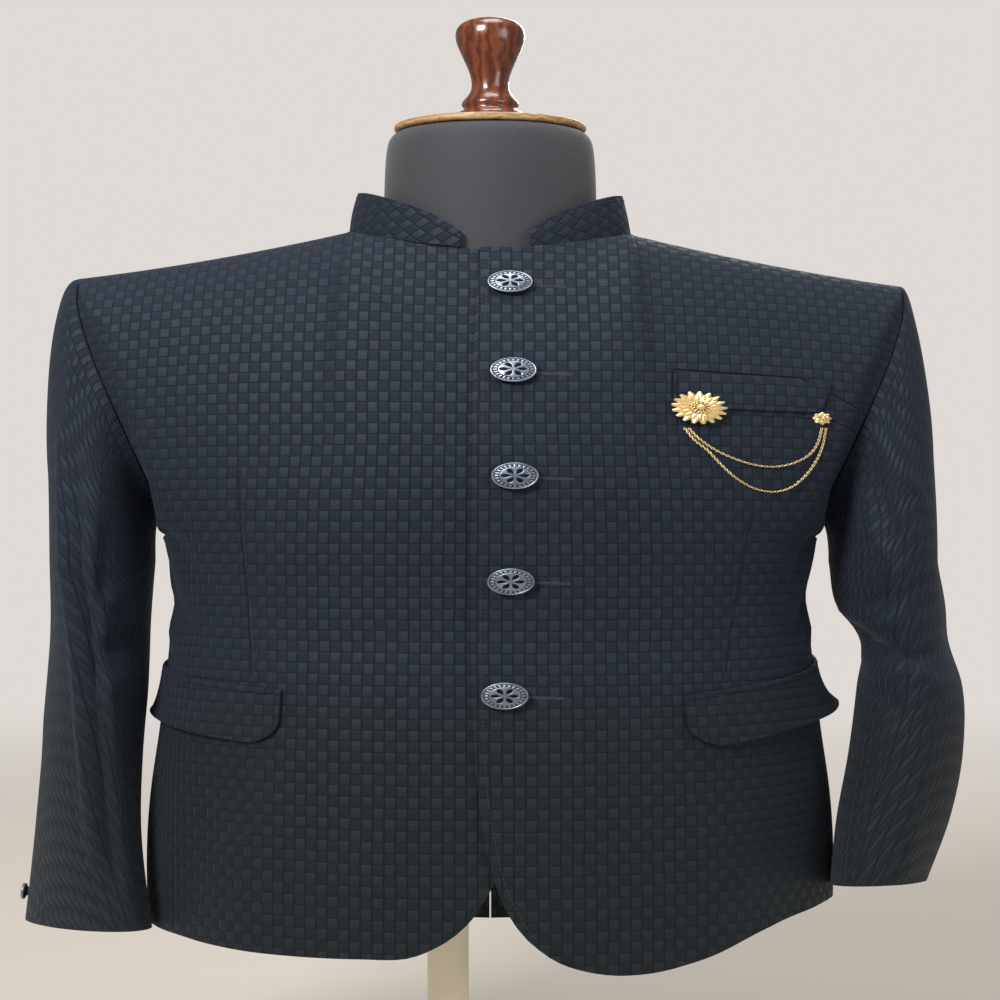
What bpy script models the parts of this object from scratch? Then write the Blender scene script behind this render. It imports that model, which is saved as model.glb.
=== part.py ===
# Bandhgala jacket resting on a limbless dress form with a wooden knob, a pole and a round base.
# Metres, Z up. The origin is under the base, on the pole's axis. The front faces -Y, +X is the wearer's left.

import math
from collections import namedtuple

import bmesh
import bpy
import numpy as np
from mathutils import Vector
from mathutils.bvhtree import BVHTree

# Driving dimensions, in metres
CHEST_LINE = 0.620  # height of the level that the tables' heights are counted from
BODY_X = 0.023  # the form's centre line stands this far to the wearer's left of the pole
CLOTH = 0.0020  # wall of the jacket's cloth
THIN_CLOTH = 0.0016  # wall of what lies on a panel
SEAM = 0.0003  # gap between pieces that touch
SEAM_LEVEL = 0.3  # the same gap's half, in levels at the top line
SEAM_ANGLE = 0.055  # and in degrees round the body
FRONT_CORNER = -375.0  # mm, where a front's edge is taken to turn into its hem
ROOM = 2.8  # mm that the form stays inside the jacket's outer surface
OVERLAP_LIFT = 0.0018  # half of the step between the two fronts where they overlap
RING_TOP = -40.0  # mm, height where the rings end and the chest and shoulders begin
TOP = 250.0  # end of the scale of levels, at the neckline, shoulder or armhole
GIRTH_MM = 2.9  # mm round the body for each degree
SHOULDER_TILT = -0.018  # rise of the shoulders for each metre towards the wearer's left

# Places round the body, in degrees from the centre front
NECK_FRONT = 26.0
TIP_FRONT = 54.0
ARMPIT = 90.0
TIP_BACK = 130.0
NECK_BACK = 153.0
SIDE_SEAM = 95.7
ARMHOLE_CROWDING = 1.8  # how much the lines up the body crowd towards the armpit

# The columns of points that neighbouring pieces share, so that their edges match
NECK_TURNS = (16.0, 35.0, 54.0, 72.0, 90.0)
SHOULDER_SHARES = (0.2, 0.4, 0.6, 0.8, 1.0)
ARMHOLE_SHARES = (
    -0.94, -0.84, -0.7, -0.56, -0.43, -0.3, -0.18, -0.1, -0.03, 0.03, 0.1, 0.18, 0.3, 0.43, 0.56, 0.7, 0.84, 0.94,
)

BUTTON_RADIUS = 0.012
POLE_RADIUS = 0.0113
BASE_RADIUS = 0.150

# The tables below are in millimetres and degrees
Ring = namedtuple("Ring", "height half_width front back squareness")
JACKET_RINGS = [
    Ring(-470, 187, 150, 143, 2.30),
    Ring(-400, 185, 149, 141, 2.30),
    Ring(-330, 184, 147, 139, 2.30),
    Ring(-265, 182, 142, 134, 2.30),
    Ring(-170, 176, 134, 123, 2.32),
    Ring(-105, 173, 130, 117, 2.36),
    Ring(-40, 177, 134, 120, 2.42),
]
FORM_RINGS = [
    Ring(-300, 164, 116, 118, 2.15),
    Ring(-262, 163, 116, 118, 2.15),
    Ring(-190, 154, 108, 110, 2.15),
    Ring(-120, 144, 104, 102, 2.20),
    Ring(-40, 160, 121, 108, 2.25),
]

# The neckline is an ellipse seen from above, the shoulder a line with a slight hollow, and the armhole a curve
# from the front of the shoulder tip (share -1) through the armpit (0) to the back of the tip (1). lean is how
# steeply the lines up the body arrive there, across how far they swing round towards the arm.
Armhole = namedtuple("Armhole", "share x y z lean across")
JACKET_ARMHOLE = [
    Armhole(-1.00, 227, 8, 217, 0, 0),
    Armhole(-0.88, 224, -20, 193, 30, 45),
    Armhole(-0.68, 213, -45, 141, 55, 85),
    Armhole(-0.48, 199, -58, 88, 70, 90),
    Armhole(-0.26, 185, -50, 30, 80, 70),
    Armhole(-0.12, 179, -29, -2, 88, 30),
    Armhole(0.00, 177, 0, -13, 90, 0),
    Armhole(0.12, 178, 31, -2, 88, 30),
    Armhole(0.28, 185, 53, 34, 80, 60),
    Armhole(0.50, 200, 61, 91, 70, 80),
    Armhole(0.70, 212, 53, 142, 55, 80),
    Armhole(0.88, 223, 33, 193, 30, 45),
    Armhole(1.00, 227, 8, 217, 0, 0),
]
FORM_ARMHOLE = [
    Armhole(-1.00, 189, 8, 223, 0, 0),
    Armhole(-0.86, 187, -20, 198, 30, 30),
    Armhole(-0.66, 180, -42, 146, 55, 60),
    Armhole(-0.44, 171, -50, 88, 70, 60),
    Armhole(-0.22, 162, -38, 30, 80, 40),
    Armhole(0.00, 158, 0, 0, 90, 0),
    Armhole(0.24, 162, 38, 32, 80, 40),
    Armhole(0.46, 171, 50, 90, 70, 60),
    Armhole(0.68, 180, 46, 148, 55, 60),
    Armhole(0.86, 187, 30, 198, 30, 30),
    Armhole(1.00, 189, 8, 223, 0, 0),
]
Neckline = namedtuple("Neckline", "half_width front back y front_z side_z back_z front_lean back_lean")
JACKET_NECKLINE = Neckline(77, 66, 67, 4, 237, 262, 273, 62, 62)
FORM_NECKLINE = Neckline(61, 60, 60, 4, 231, 252, 264, 70, 74)
SHOULDER_HOLLOW = 4.0  # mm that the shoulder line sags between neck and tip

# Front edges: where each front ends, seen from the front
Edge = namedtuple("Edge", "level x")
OVER_EDGE = [
    Edge(250, -5),
    Edge(150, -8),
    Edge(0, -9),
    Edge(-170, -9),
    Edge(-262, -6),
    Edge(-300, -3),
    Edge(-330, 1),
    Edge(-362, 8),
    Edge(-390, 20),
    Edge(-410, 37),
]
UNDER_EDGE = [
    Edge(250, 22),
    Edge(0, 24),
    Edge(-170, 24),
    Edge(-262, 18),
    Edge(-310, 9),
    Edge(-345, 0),
    Edge(-372, -10),
    Edge(-392, -24),
    Edge(-404, -40),
]
Hem = namedtuple("Hem", "angle level")
OVER_HEM = [Hem(16, -420), Hem(22, -420), Hem(30, -413), Hem(45, -393), Hem(75, -382), Hem(97, -390)]
UNDER_HEM = [Hem(-17, -406), Hem(-24, -407), Hem(-38, -407), Hem(-60, -405), Hem(-97, -407)]
BACK_HEM_LEFT = [Hem(97, -390), Hem(125, -420), Hem(155, -446), Hem(180, -452)]
BACK_HEM_RIGHT = [Hem(-97, -407), Hem(-125, -426), Hem(-155, -446), Hem(-180, -452)]

# Sleeves: rings below the armhole. turn carries the ring's front towards the body, rise lifts its inner side and
# pitch its front, both as slopes.
Sleeve = namedtuple("Sleeve", "height x y half_width half_depth turn rise pitch")
SLEEVE_LEFT = [
    Sleeve(-62, 217, 4, 30, 86, 3, 0.0, 0.0),
    Sleeve(-105, 221, 6, 30, 83, 6, 0.0, 0.0),
    Sleeve(-140, 228, 5, 24, 80, 8, 0.0, 0.05),
    Sleeve(-185, 230, -3, 29, 76, 10, 0.0, 0.12),
    Sleeve(-245, 226, -18, 31, 71, 13, 0.0, 0.18),
    Sleeve(-310, 216, -36, 30, 66, 15, 0.0, 0.20),
    Sleeve(-366, 206, -50, 25, 63, 15, 0.0, 0.20),
]
SLEEVE_RIGHT = [
    Sleeve(-62, 214, 4, 29, 87, 3, 0.0, 0.0),
    Sleeve(-120, 215, 5, 28, 83, 6, 0.0, 0.0),
    Sleeve(-180, 216, 3, 28, 78, 9, 0.0, 0.0),
    Sleeve(-250, 218, -6, 27, 73, 14, 0.02, 0.04),
    Sleeve(-320, 219, -16, 26, 70, 20, 0.06, 0.08),
    Sleeve(-375, 218, -25, 25, 68, 27, 0.10, 0.10),
    Sleeve(-411, 217, -31, 24, 67, 32, 0.12, 0.10),
]
CAP_REACH = {"left": 26.0, "right": 62.0}  # mm, how firmly the sleeve head stands out before it falls
SLEEVE_FRONT_SEAM = 102.6  # degrees round the sleeve from its outer fold through its front
SLEEVE_BACK_SEAM = 257.4
CUFF_BUTTON = (306.0, 1.93)  # degrees round the sleeve and level on it
SLEEVE_STANDS_OFF = 0.5  # mm between the armhole and the sleeve's head

# Collar band, in degrees round the neckline from the centre front
COLLAR_ENDS = (-12.0, 16.0)  # degrees
COLLAR_BACK_HEIGHT = 38.0
COLLAR_END_HEIGHT = 14.0
COLLAR_LEAN = 4.5  # mm that the band's top stands inside its foot

# What lies on the fronts, each with its corners at x and z from the front
Strip = namedtuple("Strip", "inner_x inner_z outer_x outer_z depth corner stand_off")
BREAST_WELT = Strip(94, 117, 176, 109, 24, 0.5, 0.0)
FLAP_LEFT = Strip(97, -176, 173.5, -157, 41, 22, 9.0)
FLAP_RIGHT = Strip(-104, -172, -174.5, -160, 43, 22, 3.0)
JETTING_HEIGHT = 5.0
FLAP_PAST_SIDE = 14.0  # degrees that a flap runs on past the outer corner of its table

Place = namedtuple("Place", "x z")
BUTTONS = [Place(10, 199), Place(11.5, 115), Place(12, 21), Place(10, -72), Place(7, -174)]
BROOCH = Place(104, 83)
SMALL_FLOWER = Place(170.5, 76)
CHAIN_UPPER = [
    Place(99.5, 64), Place(104, 56), Place(111, 47), Place(121, 38.5), Place(132, 32.5), Place(143, 30.5),
    Place(154, 34), Place(163, 42), Place(167.5, 52), Place(170, 66),
]
CHAIN_LOWER = [
    Place(97.3, 64), Place(101.8, 54.5), Place(108.5, 45), Place(115, 33), Place(124, 19), Place(134, 10), Place(143, 7.5),
    Place(152, 11), Place(160, 21), Place(166, 34), Place(170, 48), Place(172.4, 66),
]
CHAIN_RADIUS = 0.0008

COLOURS = {
    "cloth": (0.022, 0.030, 0.040),
    "form": (0.075, 0.076, 0.088),
    "wood": (0.160, 0.040, 0.015),
    "rim": (0.330, 0.200, 0.100),
    "metal": (0.700, 0.720, 0.760),
    "gold": (0.830, 0.600, 0.230),
    "pole": (0.740, 0.640, 0.470),
}


def clear():
    for thing in list(bpy.data.objects):
        bpy.data.objects.remove(thing, do_unlink=True)


def material(name, roughness, metallic=0.0):
    made = bpy.data.materials.get(name) or bpy.data.materials.new(name)
    made.use_nodes = True
    shader = made.node_tree.nodes["Principled BSDF"]
    shader.inputs["Base Color"].default_value = (*COLOURS[name], 1.0)
    shader.inputs["Roughness"].default_value = roughness
    shader.inputs["Metallic"].default_value = metallic
    return made


def along(rows, name, place):
    """Reads a column at a place along the table's first column, on a smooth curve through the rows."""
    knots = np.array([row[0] for row in rows], float)
    values = np.array([getattr(row, name) for row in rows], float)
    if knots[0] > knots[-1]:
        knots, values = knots[::-1], values[::-1]
    slopes = np.gradient(values, knots)
    place = np.clip(np.asarray(place, float), knots[0], knots[-1])
    at = np.clip(np.searchsorted(knots, place) - 1, 0, len(knots) - 2)
    span = knots[at + 1] - knots[at]
    t = (place - knots[at]) / span
    lower = (1 + 2 * t) * (1 - t) ** 2 * values[at] + t * (1 - t) ** 2 * span * slopes[at]
    upper = t * t * (3 - 2 * t) * values[at + 1] - t * t * (1 - t) * span * slopes[at + 1]
    return lower + upper


def ring_point(rings, angle, height):
    turn = np.radians(angle)
    sine, cosine = np.sin(turn), np.cos(turn)
    power = 2.0 / along(rings, "squareness", height)
    depth = np.where(cosine > 0, along(rings, "front", height), along(rings, "back", height))
    x = along(rings, "half_width", height) * np.sign(sine) * np.abs(sine) ** power
    y = -depth * np.sign(cosine) * np.abs(cosine) ** power
    return np.stack([x, y, height + 0 * x], -1)


def neck_turn(angle):
    """Degrees round the neckline for degrees round the body."""
    angle = np.abs(angle)
    front = 90 * angle / NECK_FRONT
    back = 90 + 90 * (angle - NECK_BACK) / (180 - NECK_BACK)
    return np.where(angle < 90, front, back)


def neckline_point(neckline, turn):
    turn_r = np.radians(turn)
    depth = np.where(np.cos(turn_r) > 0, neckline.front, neckline.back)
    x = neckline.half_width * np.sin(turn_r)
    y = neckline.y - depth * np.cos(turn_r)
    rise = np.sin(turn_r) ** 2
    end_z = np.where(np.cos(turn_r) > 0, neckline.front_z, neckline.back_z)
    return np.stack([x, y, end_z + (neckline.side_z - end_z) * rise], -1)


def shoulder_point(shape, share):
    """A point of the shoulder line, from the neckline's side (share 0) to the tip (1)."""
    first, last = shape["shoulder"]
    share = first + (last - first) * share
    start = neckline_point(JACKET_NECKLINE, np.array(90.0))
    tip = JACKET_ARMHOLE[0]
    point = start + (np.array([tip.x, tip.y, tip.z], float) - start) * share[..., None]
    point[..., 2] -= SHOULDER_HOLLOW * 4 * share * (1 - share) + shape["under"]
    return point


def armhole_share(angle):
    """Share round the armhole for degrees round the body: -1 is the tip's front, 0 the armpit, 1 the tip's back."""
    front = -((ARMPIT - np.minimum(angle, ARMPIT)) / (ARMPIT - TIP_FRONT)) ** ARMHOLE_CROWDING
    back = ((np.maximum(angle, ARMPIT) - ARMPIT) / (TIP_BACK - ARMPIT)) ** ARMHOLE_CROWDING
    return np.clip(np.where(angle < ARMPIT, front, back), -1, 1)


def armhole_point(shape, share):
    """A point of the armhole, how steeply the lines up the body arrive there and how far they swing across."""
    rows = shape["armhole"]
    point = np.stack([along(rows, axis, share) for axis in "xyz"], -1)
    return point, along(rows, "lean", share), along(rows, "across", share)


def top_line(shape, angle):
    """The upper end of the line up the body at each angle, and how far that line arrives level, rising and across."""
    neckline = shape["neckline"]
    side = np.sign(angle) + (angle == 0)
    a = np.abs(angle)
    turn = neck_turn(a)
    neck = neckline_point(neckline, turn)
    rise = np.sin(np.radians(turn)) ** 2
    end_lean = np.where(a < 90, neckline.front_lean, neckline.back_lean)
    neck_lean = end_lean * (1 - rise)

    front_share = (a - NECK_FRONT) / (TIP_FRONT - NECK_FRONT)
    back_share = (NECK_BACK - a) / (NECK_BACK - TIP_BACK)
    share = np.clip(np.where(a < 90, front_share, back_share), 0, 1)
    shoulder = shoulder_point(shape, share)
    arm, arm_lean, arm_across = armhole_point(shape, armhole_share(a))

    on_neck = (a <= NECK_FRONT) | (a >= NECK_BACK)
    on_arm = (a >= TIP_FRONT) & (a <= TIP_BACK)
    point = np.where(on_neck[..., None], neck, np.where(on_arm[..., None], arm, shoulder))
    lean = np.where(on_neck, neck_lean, np.where(on_arm, arm_lean, 0.0))
    point = point * np.stack([side, np.ones_like(side), np.ones_like(side)], -1)
    level_pull = np.where(on_arm, np.cos(np.radians(lean)), 1.0)
    across = np.where(on_arm, arm_across, 0.0)
    return point, level_pull, np.sin(np.radians(lean)), across


def body_point(shape, angle, level):
    """A point of the body in millimetres: rings up to RING_TOP, then smooth lines up to the top line."""
    angle, level = np.broadcast_arrays(np.asarray(angle, float), np.asarray(level, float))
    rings = shape["rings"]
    foot = ring_point(rings, angle, np.minimum(level, RING_TOP))
    below = ring_point(rings, angle, np.full(angle.shape, RING_TOP - 10.0))
    base = ring_point(rings, angle, np.full(angle.shape, RING_TOP))
    top, level_pull, rising_pull, across = top_line(shape, angle)
    reach = top - base
    t = np.clip((level - RING_TOP) / (TOP - RING_TOP), 0, 1)[..., None]
    start = (base - below) / 10.0 * np.abs(reach[..., 2:3]) * shape["chest_fullness"]
    inward = np.where(np.abs(angle) < ARMPIT, 1.0, -1.0)
    level_size = np.abs(reach[..., 1]) * shape["shoulder_fullness"] * level_pull
    end_x = reach[..., 0] * rising_pull + np.sign(angle) * 0.6 * across
    end_y = inward * (level_size + 0.8 * across)
    end = np.stack([end_x, end_y, reach[..., 2] * shape["neck_fullness"] * rising_pull], -1)
    start[..., 0] = reach[..., 0] + np.sign(angle) * 0.4 * across
    upper = (1 + 2 * t) * (1 - t) ** 2 * base + t * (1 - t) ** 2 * start
    upper = upper + t * t * (3 - 2 * t) * top - t * t * (1 - t) * end
    upper[..., 2] += SHOULDER_TILT * upper[..., 0] * t[..., 0]
    return np.where((level > RING_TOP)[..., None], upper, foot)


def world(points):
    """Table millimetres to metres in the part's own frame."""
    return np.asarray(points) / 1000.0 + np.array([BODY_X, 0.0, CHEST_LINE])


def body_normal(shape, angle, level):
    """Unit directions out of the body's surface."""
    across = body_point(shape, angle + 0.6, level) - body_point(shape, angle - 0.6, level)
    upward = body_point(shape, angle, np.minimum(level + 1.5, TOP)) - body_point(shape, angle, level - 1.5)
    normal = np.cross(across, upward)
    return normal / np.maximum(np.linalg.norm(normal, axis=-1, keepdims=True), 1e-12)


def new_object(name, mesh, finish, smooth=True):
    mesh.materials.append(finish)
    if smooth:
        mesh.shade_smooth()
        mesh.set_sharp_from_angle(angle=math.radians(40))
    made = bpy.data.objects.new(name, mesh)
    bpy.context.scene.collection.objects.link(made)
    return made


def closed_mesh(name, vertices, faces):
    mesh = bpy.data.meshes.new(name)
    mesh.from_pydata([tuple(v) for v in vertices], [], faces)
    work = bmesh.new()
    work.from_mesh(mesh)
    bmesh.ops.recalc_face_normals(work, faces=work.faces)
    work.to_mesh(mesh)
    work.free()
    return mesh


def wall(name, outer, inner, finish, ring=False):
    """A closed wall between two grids of points; ring joins each row's end to its start."""
    rows, columns = outer.shape[:2]
    count = rows * columns
    vertices = np.concatenate([outer.reshape(-1, 3), inner.reshape(-1, 3)])
    last = columns if ring else columns - 1
    faces = []
    for r in range(rows - 1):
        for c in range(last):
            d = (c + 1) % columns
            a, b = r * columns + c, r * columns + d
            faces.append((a, b, b + columns, a + columns))
            faces.append((count + a, count + a + columns, count + b + columns, count + b))
    for r, flip in ((0, True), (rows - 1, False)):
        for c in range(last):
            d = (c + 1) % columns
            strip = (r * columns + c, r * columns + d, count + r * columns + d, count + r * columns + c)
            faces.append(strip if flip else tuple(reversed(strip)))
    if not ring:
        for c, flip in ((0, False), (columns - 1, True)):
            for r in range(rows - 1):
                a, b = r * columns + c, (r + 1) * columns + c
                strip = (a, b, count + b, count + a)
                faces.append(strip if flip else tuple(reversed(strip)))
    return new_object(name, closed_mesh(name, vertices, faces), finish)


def edge_patch(bottom, top, left, right, share, up):
    """A grid between four edges, each a row of (distance round, level); the corners must meet. share and up are
    the places of the columns and rows."""
    s = share[None, :, None]
    t = up[:, None, None]
    across = (1 - t) * bottom[None] + t * top[None]
    upward = (1 - s) * left[:, None] + s * right[:, None]
    corners = (1 - s) * (1 - t) * bottom[0] + s * (1 - t) * bottom[-1] + (1 - s) * t * top[0] + s * t * top[-1]
    return across + upward - corners


def upward_shares(count):
    """Shares of the way up a panel for its rows, closer together towards the shoulder."""
    return 1 - (1 - np.linspace(0, 1, count)) ** 1.5


def resample(points, shares):
    """Points at shares of the length of a smooth curve through the given ones."""
    points = np.asarray(points, float)
    steps = np.concatenate([[0], np.cumsum(np.linalg.norm(np.diff(points, axis=0), axis=1))])
    knots = [(step, *point) for step, point in zip(steps, points)]
    table = namedtuple("Knot", ["step"] + [f"v{i}" for i in range(points.shape[1])])
    rows = [table(*knot) for knot in knots]
    places = steps[-1] * shares
    return np.stack([along(rows, f"v{i}", places) for i in range(points.shape[1])], -1)


JACKET = {
    "rings": JACKET_RINGS,
    "armhole": JACKET_ARMHOLE,
    "neckline": JACKET_NECKLINE,
    "shoulder": (0.0, 1.0),
    "under": 0.0,
    "chest_fullness": 1.32,
    "shoulder_fullness": 1.9,
    "neck_fullness": 1.15,
}
FORM = {
    "rings": FORM_RINGS,
    "armhole": FORM_ARMHOLE,
    "neckline": FORM_NECKLINE,
    "shoulder": (-0.09, 0.75),
    "under": 2.9,
    "chest_fullness": 1.22,
    "shoulder_fullness": 1.8,
    "neck_fullness": 1.10,
}


def angle_at(x, level):
    """The angle of the front's point at x on each level."""
    samples = np.linspace(-96, 96, 385)
    found = []
    for one_x, one_level in zip(np.atleast_1d(x), np.atleast_1d(level)):
        xs = body_point(JACKET, samples, one_level)[:, 0]
        found.append(np.interp(one_x, xs, samples))
    return np.array(found)


def locate(place):
    """The angle and level of the front's point that is seen at x and z."""
    levels = np.linspace(-300, TOP, 161)
    angles = angle_at(np.full(levels.shape, float(place[0])), levels)
    heights = body_point(JACKET, angles, levels)[:, 2]
    level = np.interp(place[1], heights, levels)
    return np.array([angle_at([place[0]], [level])[0], level])


def column_angles(first, last):
    """Angles of the shared columns between two places on one side of the body, with those places at the ends."""
    neck = np.array(NECK_TURNS) / 90.0
    shoulder = np.array(SHOULDER_SHARES)
    arm = np.array(ARMHOLE_SHARES)
    spread = np.abs(arm) ** (1 / ARMHOLE_CROWDING)
    shared = np.concatenate([
        NECK_FRONT * neck,
        NECK_FRONT + (TIP_FRONT - NECK_FRONT) * shoulder,
        np.where(arm <= 0, ARMPIT - (ARMPIT - TIP_FRONT) * spread, ARMPIT + (TIP_BACK - ARMPIT) * spread),
        NECK_BACK - (NECK_BACK - TIP_BACK) * shoulder[::-1],
        NECK_BACK + (180 - NECK_BACK) * (1 - neck[::-1]),
    ])
    inside = shared[(shared > first + 1.5) & (shared < last - 1.5)]
    return np.concatenate([[first], np.sort(inside), [last]])


def body_grid(plane, lift=0.0):
    """Outer and inner points of the jacket's cloth for a grid of (distance round, level)."""
    angle, level = plane[..., 0] / GIRTH_MM, plane[..., 1]
    grid = body_point(JACKET, angle, level)
    normal = body_normal(JACKET, angle, level)
    outer = grid + normal * np.asarray(lift)[..., None] * 1000
    return world(outer), world(outer - normal * CLOTH * 1000), normal


def smooth_step(value, start, end):
    t = np.clip((value - start) / (end - start), 0, 1)
    return t * t * (3 - 2 * t)


def front_lift(x, over):
    """How far a front stands off the body's surface where the two overlap."""
    if over:
        return OVERLAP_LIFT * (1 - smooth_step(x, 28, 75))
    return -OVERLAP_LIFT * smooth_step(x, -60, -12)


def make_front(name, edge, hem, sign, over, finish, rows=20):
    """A front from its edge to the side seam, with the hem's front corner rounded."""
    levels = np.array([row.level for row in edge], float)
    down = np.stack([angle_at([row.x for row in edge], levels), levels], -1)
    outline = resample(np.concatenate([down, [(row.angle, row.level) for row in hem]]) * [GIRTH_MM, 1], np.linspace(0, 1, 120))
    corner = int(np.argmax(outline[:, 1] < FRONT_CORNER))
    up = upward_shares(rows)
    left = resample(outline[corner::-1], up)
    left[-1, 1] = TOP - SEAM_LEVEL
    seam = SIDE_SEAM - SEAM_ANGLE
    columns = sign * column_angles(abs(left[-1, 0] / GIRTH_MM) * np.sign(sign * left[-1, 0]), seam) * GIRTH_MM
    share = (columns - columns[0]) / (columns[-1] - columns[0])
    bottom_x = left[0, 0] + (columns[-1] - left[0, 0]) * share
    low = outline[corner:]
    bottom = np.stack([bottom_x, np.interp(bottom_x * sign, low[:, 0] * sign, low[:, 1])], -1)
    bottom[0] = left[0]
    top = np.stack([columns, np.full(columns.shape, TOP - SEAM_LEVEL)], -1)
    right_level = bottom[-1, 1] + (TOP - SEAM_LEVEL - bottom[-1, 1]) * up
    right = np.stack([np.full(rows, columns[-1]), right_level], -1)
    plane = edge_patch(bottom, top, left, right, share, up)
    x = body_point(JACKET, plane[..., 0] / GIRTH_MM, plane[..., 1])[..., 0]
    outer, inner, _ = body_grid(plane, front_lift(x, over))
    return wall(name, outer, inner, finish)


def make_back(name, hem, sign, finish, rows=19):
    """Half of the back, from the side seam to the centre seam."""
    columns = sign * column_angles(SIDE_SEAM + SEAM_ANGLE, 180 - SEAM_ANGLE)
    low = np.array([(abs(row.angle), row.level) for row in hem], float)
    knots = [Hem(*row) for row in low]
    bottom = along(knots, "level", np.abs(columns))[None, :]
    level = bottom + (TOP - SEAM_LEVEL - bottom) * upward_shares(rows)[:, None]
    plane = np.stack([np.broadcast_to(columns * GIRTH_MM, level.shape), level], -1)
    outer, inner, _ = body_grid(plane)
    return wall(name, outer, inner, finish)


def sleeve_ring(rows, turn, height, side):
    turn_r = np.radians(turn)
    wide = along(rows, "half_width", height) * np.cos(turn_r)
    deep = along(rows, "half_depth", height) * np.sin(turn_r)
    twist = np.radians(along(rows, "turn", height))
    x = wide * np.cos(twist) - deep * np.sin(twist)
    y = -deep * np.cos(twist) - wide * np.sin(twist)
    z = height - along(rows, "rise", height) * x - along(rows, "pitch", height) * y
    x = along(rows, "x", height) + x
    y = along(rows, "y", height) + y
    return np.stack([side * x, y, z], -1)


def sleeve_point(rows, turn, level, side):
    """A point of the sleeve: level 0 to 1 is the head, from the armhole to the first ring, 1 to 2 the rest."""
    turn, level = np.broadcast_arrays(np.asarray(turn, float), np.asarray(level, float))
    first, last = rows[0].height, rows[-1].height
    ring = sleeve_ring(rows, turn, first + (last - first) * np.clip(level - 1, 0, 1), side)
    foot = sleeve_ring(rows, turn, np.full(turn.shape, float(first)), side)
    arm, _, _ = armhole_point(JACKET, turn / 180 - 1)
    arm[..., 0] *= side
    arm[..., 2] += SHOULDER_TILT * arm[..., 0]
    top_share = np.clip(np.cos(np.radians(turn)), 0, 1)
    arm[..., 0] += side * SLEEVE_STANDS_OFF
    drop = np.maximum(arm[..., 2] - foot[..., 2], 1.0)
    t = np.clip(level, 0, 1)[..., None]
    reach = 30 + (CAP_REACH["left" if side > 0 else "right"] - 30) * top_share ** 0.7
    sideways = np.sin(np.radians(turn))
    start = np.stack([side * reach, -10 * sideways, 4 - 0.3 * drop * (1 - top_share)], -1)
    end = np.stack([0 * drop, 0 * drop, -drop * 1.2], -1)
    head = (1 + 2 * t) * (1 - t) ** 2 * arm + t * (1 - t) ** 2 * start
    head = head + t * t * (3 - 2 * t) * foot - t * t * (1 - t) * end
    return np.where((level < 1)[..., None], head, ring)


def make_sleeve(side_name, rows, side, finish, levels=14):
    """Two walls that meet along the front and back seams."""
    gap = 0.2
    shared = 180 * (1 + np.array((-1.0, *ARMHOLE_SHARES)))
    around = np.concatenate([shared - 360, shared, shared + 360])
    stretches = {
        "top": (SLEEVE_BACK_SEAM - 360 + gap, SLEEVE_FRONT_SEAM - gap),
        "under": (SLEEVE_FRONT_SEAM + gap, SLEEVE_BACK_SEAM - gap),
    }
    head = np.linspace(0, 1, 7) ** 0.8
    level = np.concatenate([head, 1 + np.linspace(0, 1, levels - 6)[1:]])[:, None]
    for piece, (start, end) in stretches.items():
        inside = around[(around > start + 4) & (around < end - 4)]
        turn = np.concatenate([[start], inside, [end]])[None, :]
        grid, normal = sleeve_cloth(rows, turn, level, side)
        wall(f"sleeve_{piece}_{side_name}", world(grid), world(grid - normal * CLOTH * 1000), finish)


def sleeve_cloth(rows, turn, level, side):
    """Points of the sleeve and the directions out of it."""
    turn, level = np.broadcast_arrays(turn, level)
    grid = sleeve_point(rows, np.mod(turn, 360), level, side)
    ahead = sleeve_point(rows, np.mod(turn + 1, 360), level, side)
    behind = sleeve_point(rows, np.mod(turn - 1, 360), level, side)
    lower = sleeve_point(rows, np.mod(turn, 360), np.minimum(level + 0.02, 2), side)
    upper = sleeve_point(rows, np.mod(turn, 360), np.maximum(level - 0.02, 0), side)
    normal = np.cross(upper - lower, ahead - behind) * side
    return grid, normal / np.maximum(np.linalg.norm(normal, axis=-1, keepdims=True), 1e-12)


def make_collar(finish, rows=4):
    """The stand band, from its foot on the neckline to a top that leans in, lower at both front ends."""
    side = np.array(NECK_TURNS)
    back = 180 - side[::-1]
    right_side = side[side > -COLLAR_ENDS[0] + 4]
    turn = np.concatenate([side, back[1:], [180], 360 - back[::-1], 360 - right_side[::-1][1:], [360 + COLLAR_ENDS[0]]])
    from_end = np.minimum(turn - COLLAR_ENDS[1], 360 + COLLAR_ENDS[0] - turn)
    height = COLLAR_END_HEIGHT + (COLLAR_BACK_HEIGHT - COLLAR_END_HEIGHT) * (1 - np.exp(-from_end / 14.0))
    foot = neckline_point(JACKET_NECKLINE, np.where(turn > 180, turn - 360, turn))
    foot[..., 2] += SHOULDER_TILT * foot[..., 0] + 1000 * SEAM
    away = (foot - np.array([0, JACKET_NECKLINE.y, 0])) * np.array([1, 1, 0])
    away /= np.linalg.norm(away, axis=-1, keepdims=True)
    share = np.linspace(0, 1, rows)[:, None, None]
    tall = height[None, :, None]
    outer = foot[None] + share * tall * np.array([0, 0, 1.0]) - away[None] * COLLAR_LEAN * share * tall / 38
    inner = outer - away[None] * CLOTH * 1000
    return wall("collar", world(outer), world(inner), finish)


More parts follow.
